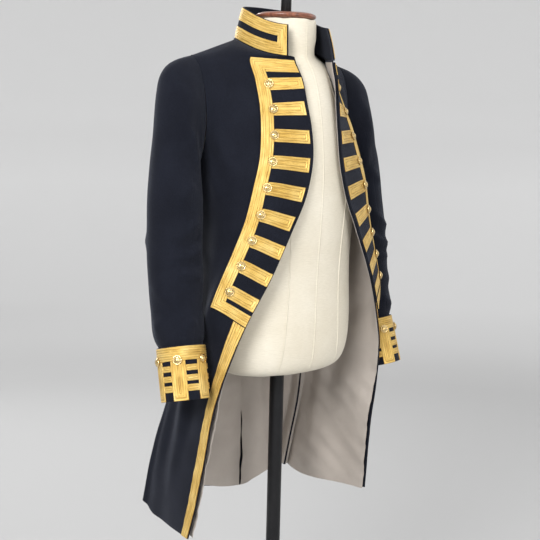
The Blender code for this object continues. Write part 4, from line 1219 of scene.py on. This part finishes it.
def make_cuff(side):
    down = spread((0, CUFF_LENGTH), 0.008)
    grid = np.meshgrid(np.arange(0, 360, 4.0), down, indexing="ij")
    navy_wall("cuff_" + side, *cuff_surface(*grid), -CUFF_CLOTH, 0, side, closed=True)

    degrees, down, covered = cuff_lace_cells()
    degrees, down = np.meshgrid(degrees, down, indexing="ij")
    depth = np.zeros(down.shape)
    for k in range(1, len(CUFF_STEPS) - 1):
        if k not in CUFF_OPEN_ROWS:
            low, high = CUFF_STEPS[k:k + 2]
            inside = (down >= low - 1e-9) & (down <= high + 1e-9)
            depth = np.where(inside, np.minimum(down - low, high - down), depth)
    height = rib(depth)
    walked = np.radians(degrees) * CUFF_TOP_RADIUS
    half_width = math.radians(CUFF_LOOP_WIDTH / 2) * CUFF_TOP_RADIUS
    to_foot = CUFF_STEPS[-1] - down
    for centre in CUFF_LOOP_ANGLES:
        off = np.radians(np.abs(degrees - centre)) * CUFF_TOP_RADIUS
        lies = (off <= half_width + 1e-6) & (down > CUFF_STEPS[2])
        inward = np.maximum(np.minimum(half_width - off, to_foot), 0)
        groove = np.exp(-(off / GROOVE) ** 2) * (down < CUFF_STEPS[-1] - 0.012)
        height = np.where(lies, rib(inward) + 0.00030 - 0.0006 * groove, height)
        walked = np.where(lies, down, walked)
        depth = np.where(lies, inward, depth)
    lace_wall("cuff_lace_" + side, *cuff_surface(degrees, down), GAP, GAP + height, side,
              covered=covered, closed=True, uv=np.stack([walked, depth], axis=-1))


# ---------------------------------------------------------------- buttons
# Half section of a button, as shares of its radius and height.
BUTTON_PROFILE = (
    (0.62, 0.0), (0.80, 0.02), (0.95, 0.09), (1.0, 0.20), (1.0, 0.30), (0.95, 0.40), (0.87, 0.42),
    (0.82, 0.40), (0.78, 0.44), (0.70, 0.57), (0.62, 0.67), (0.57, 0.75), (0.53, 0.77),
    (0.49, 0.77), (0.44, 0.80), (0.36, 0.87), (0.26, 0.94), (0.16, 0.98), (0.06, 1.0),
)
ROPE_ROWS = range(3, 7)     # rows of it that are roped, round the rim
ROPE_DEPTH = 0.00016


def turned_mesh(name, profile, sides, roped=()):
    """A turned solid from (radius, height) pairs, bottom first, closed at both ends."""
    points = []
    for row, (radius, height) in enumerate(profile):
        for k in range(sides):
            angle = 2 * math.pi * k / sides
            reach = radius + (ROPE_DEPTH * math.cos(k * math.pi / 2) if row in roped else 0.0)
            points.append((reach * math.cos(angle), reach * math.sin(angle), height))
    mesh = bpy.data.meshes.new(name)
    mesh.from_pydata(points, [], tube_faces(len(profile), sides))
    mesh.shade_smooth()
    mesh.set_sharp_from_angle(angle=math.radians(40))
    return mesh


def button_place(corners):
    """Where a button lies, from the corners of its solid: its wider end is its foot."""
    centre = corners.mean(axis=0)
    away = np.linalg.svd(corners - centre)[2][-1]
    heights = (corners - centre) @ away
    low_width, high_width = (np.ptp(corners[end] @ np.cross(away, (0, 0, 1)))
                             for end in (heights < 0, heights > 0))
    if high_width > low_width:
        away, heights = -away, -heights
    foot = centre + away * heights.min() + away * 0.0001
    turn = Vector(away).to_track_quat("Z", "Y").to_matrix().to_4x4()
    return Matrix.Translation(foot) @ turn


def make_buttons():
    """One fine button in the place of each of the solids, square to the lace below it."""
    profile = [(BUTTON_RADIUS * r, BUTTON_HEIGHT * h) for r, h in BUTTON_PROFILE]
    shape = turned_mesh("button", profile, 40, ROPE_ROWS)
    shape.materials.append(BRASS)
    for name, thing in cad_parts.items():
        if "_button_" in name:
            button = add_object(name + "_gilt", shape)
            button.matrix_world = button_place(np.array([v.co for v in thing.data.vertices]))
            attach(button, BODY)
            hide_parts(name)


# ---------------------------------------------------------------- dress form and stand
SEAM_RADIUS = 0.0011
SEAM_SIDES = 6
# Seams of the form's cover.  Columns: name, place across, top.
FORM_SEAMS = (("centre", 0.0, 1.52), ("right", -0.078, 1.43), ("left", 0.078, 1.43))


def make_form():
    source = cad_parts["form_body"].data.copy()
    bm = bmesh.new()
    bm.from_mesh(source)
    bmesh.ops.remove_doubles(bm, verts=bm.verts, dist=0.00001)
    limit = math.radians(60)
    bmesh.ops.join_triangles(bm, faces=bm.faces, angle_face_threshold=limit,
                             angle_shape_threshold=limit)
    bm.to_mesh(source)
    bm.free()
    source.name = "form_cover"
    source.materials.clear()
    source.shade_smooth()
    form = add_object("form_cover", source)
    rounder = form.modifiers.new("rounder", "SUBSURF")
    rounder.levels = 2
    rounder.render_levels = 2
    finish(form, LINEN, "form_linen", "form_body")
    bpy.context.view_layer.update()
    return BVHTree.FromObject(form, bpy.context.evaluated_depsgraph_get())


def seam_path(tree, side_x, heights):
    """Points down the front of the form where a seam at that place runs."""
    points = []
    for z in heights:
        waist = 1 - 0.16 * math.exp(-((z - 1.06) / 0.16) ** 2)
        x = side_x * waist * (1 - 0.35 * float(ease((z - 1.30) / 0.2)))
        hit = tree.ray_cast(Vector((x, -0.4, z)), Vector((0, 1, 0)))
        if hit[0] is not None:
            points.append(hit[0] + hit[1] * 0.0002)
    return points


def make_form_seams(tree):
    """Raised seams of the form's cover: centre front and one to each side of it."""
    for name, side_x, top in FORM_SEAMS:
        path = seam_path(tree, side_x, np.linspace(0.872, top, 90))
        points = []
        for point, before, after in zip(path, path[:1] + path, path[1:] + path[-1:]):
            ahead = (after - before).normalized()
            across = ahead.cross(Vector((0, 1, 0))).normalized()
            out = across.cross(ahead)
            for k in range(SEAM_SIDES):
                angle = 2 * math.pi * k / SEAM_SIDES
                offset = across * math.cos(angle) * 1.5 + out * math.sin(angle) * 0.7
                points.append(point + offset * SEAM_RADIUS)
        faces = tube_faces(len(path), SEAM_SIDES)
        finish(mesh_object("form_seam_" + name, np.array(points), faces), LINEN, "form_linen")


def make_turned(name, profile, sides, material, slot, node):
    finish(add_object(name, turned_mesh(name, profile, sides)), material, slot, node)


def arc(centre, radius, start, stop, count):
    """Points of (radius, height) round a corner, in degrees from outwards."""
    angles = [math.radians(start + (stop - start) * k / count) for k in range(count + 1)]
    return [(centre[0] + radius * math.cos(angle), centre[1] + radius * math.sin(angle))
            for angle in angles]


def make_stand():
    edge = 0.005
    profile = [(BASE_RADIUS - 0.002, 0.0), (BASE_RADIUS, 0.002)]
    profile += arc((BASE_RADIUS - edge, BASE_HEIGHT - edge), edge, 0, 90, 6)
    profile += [(0.030, BASE_HEIGHT)]
    make_turned("base_disc", profile, 96, BLACK, "black_metal", "base")
    bottom, top = BASE_HEIGHT + GAP, FORM_BOTTOM - GAP
    bevel = 0.0006
    profile = [(POLE_RADIUS - bevel, bottom), (POLE_RADIUS, bottom + bevel),
               (POLE_RADIUS, top - bevel), (POLE_RADIUS - bevel, top)]
    make_turned("pole_tube", profile, 48, BLACK, "black_metal", "pole")
    cap = NECK_TOP + GAP
    profile = [(0.052, cap)] + arc((0.0535, cap + 0.0055), 0.004, -75, 75, 8)
    profile += [(0.050, cap + 0.0112), (0.030, cap + 0.0126), (0.016, cap + 0.0140)]
    make_turned("neck_cap_wood", profile, 72, WOOD, "cap_wood", "neck_cap")
    rod = cap + 0.014 + GAP
    profile = [(0.0096, rod), (0.010, rod + 0.0005), (0.010, rod + 0.050)]
    profile += arc((0.006, rod + 0.050), 0.004, 15, 80, 5) + [(0.002, rod + 0.0545)]
    make_turned("top_rod_steel", profile, 40, BLACK, "black_metal", "top_rod")


# ---------------------------------------------------------------- stage, light and camera
CAMERA_PLACE = Vector((-1.508, -1.601, 1.344))
CAMERA_TURN = -0.747      # left of +Y, in radians
CAMERA_PITCH = 0.132
CAMERA_ROLL = 0.024
CAMERA_LENS = 75.63
STAGE_SIDES = 96
STAGE_FLAT = 3.5          # radius of the level floor
STAGE_BEND = 3.0          # radius of the bend from floor to wall
# Greys of the stage at shares of 3 m up its wall.
STAGE_GREYS = ((0.0, 0.44), (0.30, 0.70), (0.45, 0.75))
# Glow of the stage at shares of 3 m up its wall, which evens out its brightness.
STAGE_GLOW = ((0.0, 0.075), (0.033, 0.145), (0.083, 0.17), (0.147, 0.14), (0.223, 0.10),
              (0.31, 0.055), (0.40, 0.01), (0.5, 0.0))
WORLD_STRENGTH = 0.90
LIGHT_TARGET = Vector((0, 0, 1.15))
# Area lights.  Columns: name, place, size, power.
LIGHTS = (("key", (-2.9, -1.5, 2.6), 1.3, 110), ("front_fill", (-0.4, -3.6, 2.1), 2.0, 42),
          ("right_fill", (3.2, -0.6, 2.2), 2.2, 9), ("back_fill", (0.6, 3.4, 2.6), 2.2, 60))


def make_stage():
    """A pale floor that curves up into a pale wall all round, far from the object."""
    paint = Paint("pale_floor", {"Emission Color": (1, 1, 1, 1), "Roughness": 0.95,
                                 "Specular IOR Level": 0.05})
    split = paint.node("ShaderNodeSeparateXYZ")
    paint.join(paint.place(), split.inputs["Vector"])
    height = paint.math("DIVIDE", split.outputs["Z"], 3.0)
    paint.shade(Base_Color=paint.ramp(height, *STAGE_GREYS),
                Emission_Strength=paint.ramp(height, *STAGE_GLOW))
    profile = [(STAGE_FLAT, 0.0)]
    profile += [(STAGE_FLAT + STAGE_BEND * math.sin(a), STAGE_BEND * (1 - math.cos(a)))
                for a in np.linspace(0.05, math.pi / 2, 16)]
    profile += [(STAGE_FLAT + STAGE_BEND, 7.0)]
    angles = [2 * math.pi * k / STAGE_SIDES for k in range(STAGE_SIDES)]
    points = [(0, 0, 0)] + [(radius * math.cos(a), radius * math.sin(a), z)
                            for radius, z in profile for a in angles]
    faces = [(0, 1 + k, 1 + (k + 1) % STAGE_SIDES) for k in range(STAGE_SIDES)]
    walls = tube_faces(len(profile), STAGE_SIDES)[:-2]
    faces += [[1 + k for k in reversed(face)] for face in walls]
    mesh = bpy.data.meshes.new("stage")
    mesh.from_pydata(points, [], faces)
    mesh.shade_smooth()
    mesh.materials.append(paint.material)
    add_object("stage", mesh)


def make_lights():
    world = bpy.data.worlds.new("studio")
    world.use_nodes = True
    background = world.node_tree.nodes["Background"]
    background.inputs["Color"].default_value = (1.0, 1.0, 1.0, 1)
    background.inputs["Strength"].default_value = WORLD_STRENGTH
    bpy.context.scene.world = world
    for name, place, size, power in LIGHTS:
        light = bpy.data.lights.new(name, "AREA")
        light.shape = "DISK"
        light.size = size
        light.energy = power
        thing = add_object(name, light)
        thing.location = place
        way = LIGHT_TARGET - Vector(place)
        thing.rotation_euler = way.to_track_quat("-Z", "Y").to_euler()


def make_camera():
    data = bpy.data.cameras.new("camera")
    data.sensor_width = 36.0
    data.lens = CAMERA_LENS
    data.clip_end = 50.0
    turn, pitch = CAMERA_TURN, CAMERA_PITCH
    ahead = Vector((-math.sin(turn) * math.cos(pitch), math.cos(turn) * math.cos(pitch),
                    -math.sin(pitch)))
    right = Vector((math.cos(turn), math.sin(turn), 0))
    up = right.cross(ahead)
    across = right * math.cos(CAMERA_ROLL) + up * math.sin(CAMERA_ROLL)
    upward = up * math.cos(CAMERA_ROLL) - right * math.sin(CAMERA_ROLL)
    camera = add_object("camera", data)
    axes = Matrix((across, upward, -ahead)).transposed().to_4x4()
    camera.matrix_world = Matrix.Translation(CAMERA_PLACE) @ axes
    bpy.context.scene.camera = camera


for hand in ("right", "left"):
    make_front(hand)
    make_back(hand)
    make_lapel(hand)
    make_skirt_lace(hand)
    make_sleeve(hand)
    make_cuff(hand)
make_collar()
make_buttons()
make_form_seams(make_form())
make_stand()
make_stage()
make_lights()
make_camera()
bpy.context.scene.view_settings.view_transform = "Standard"
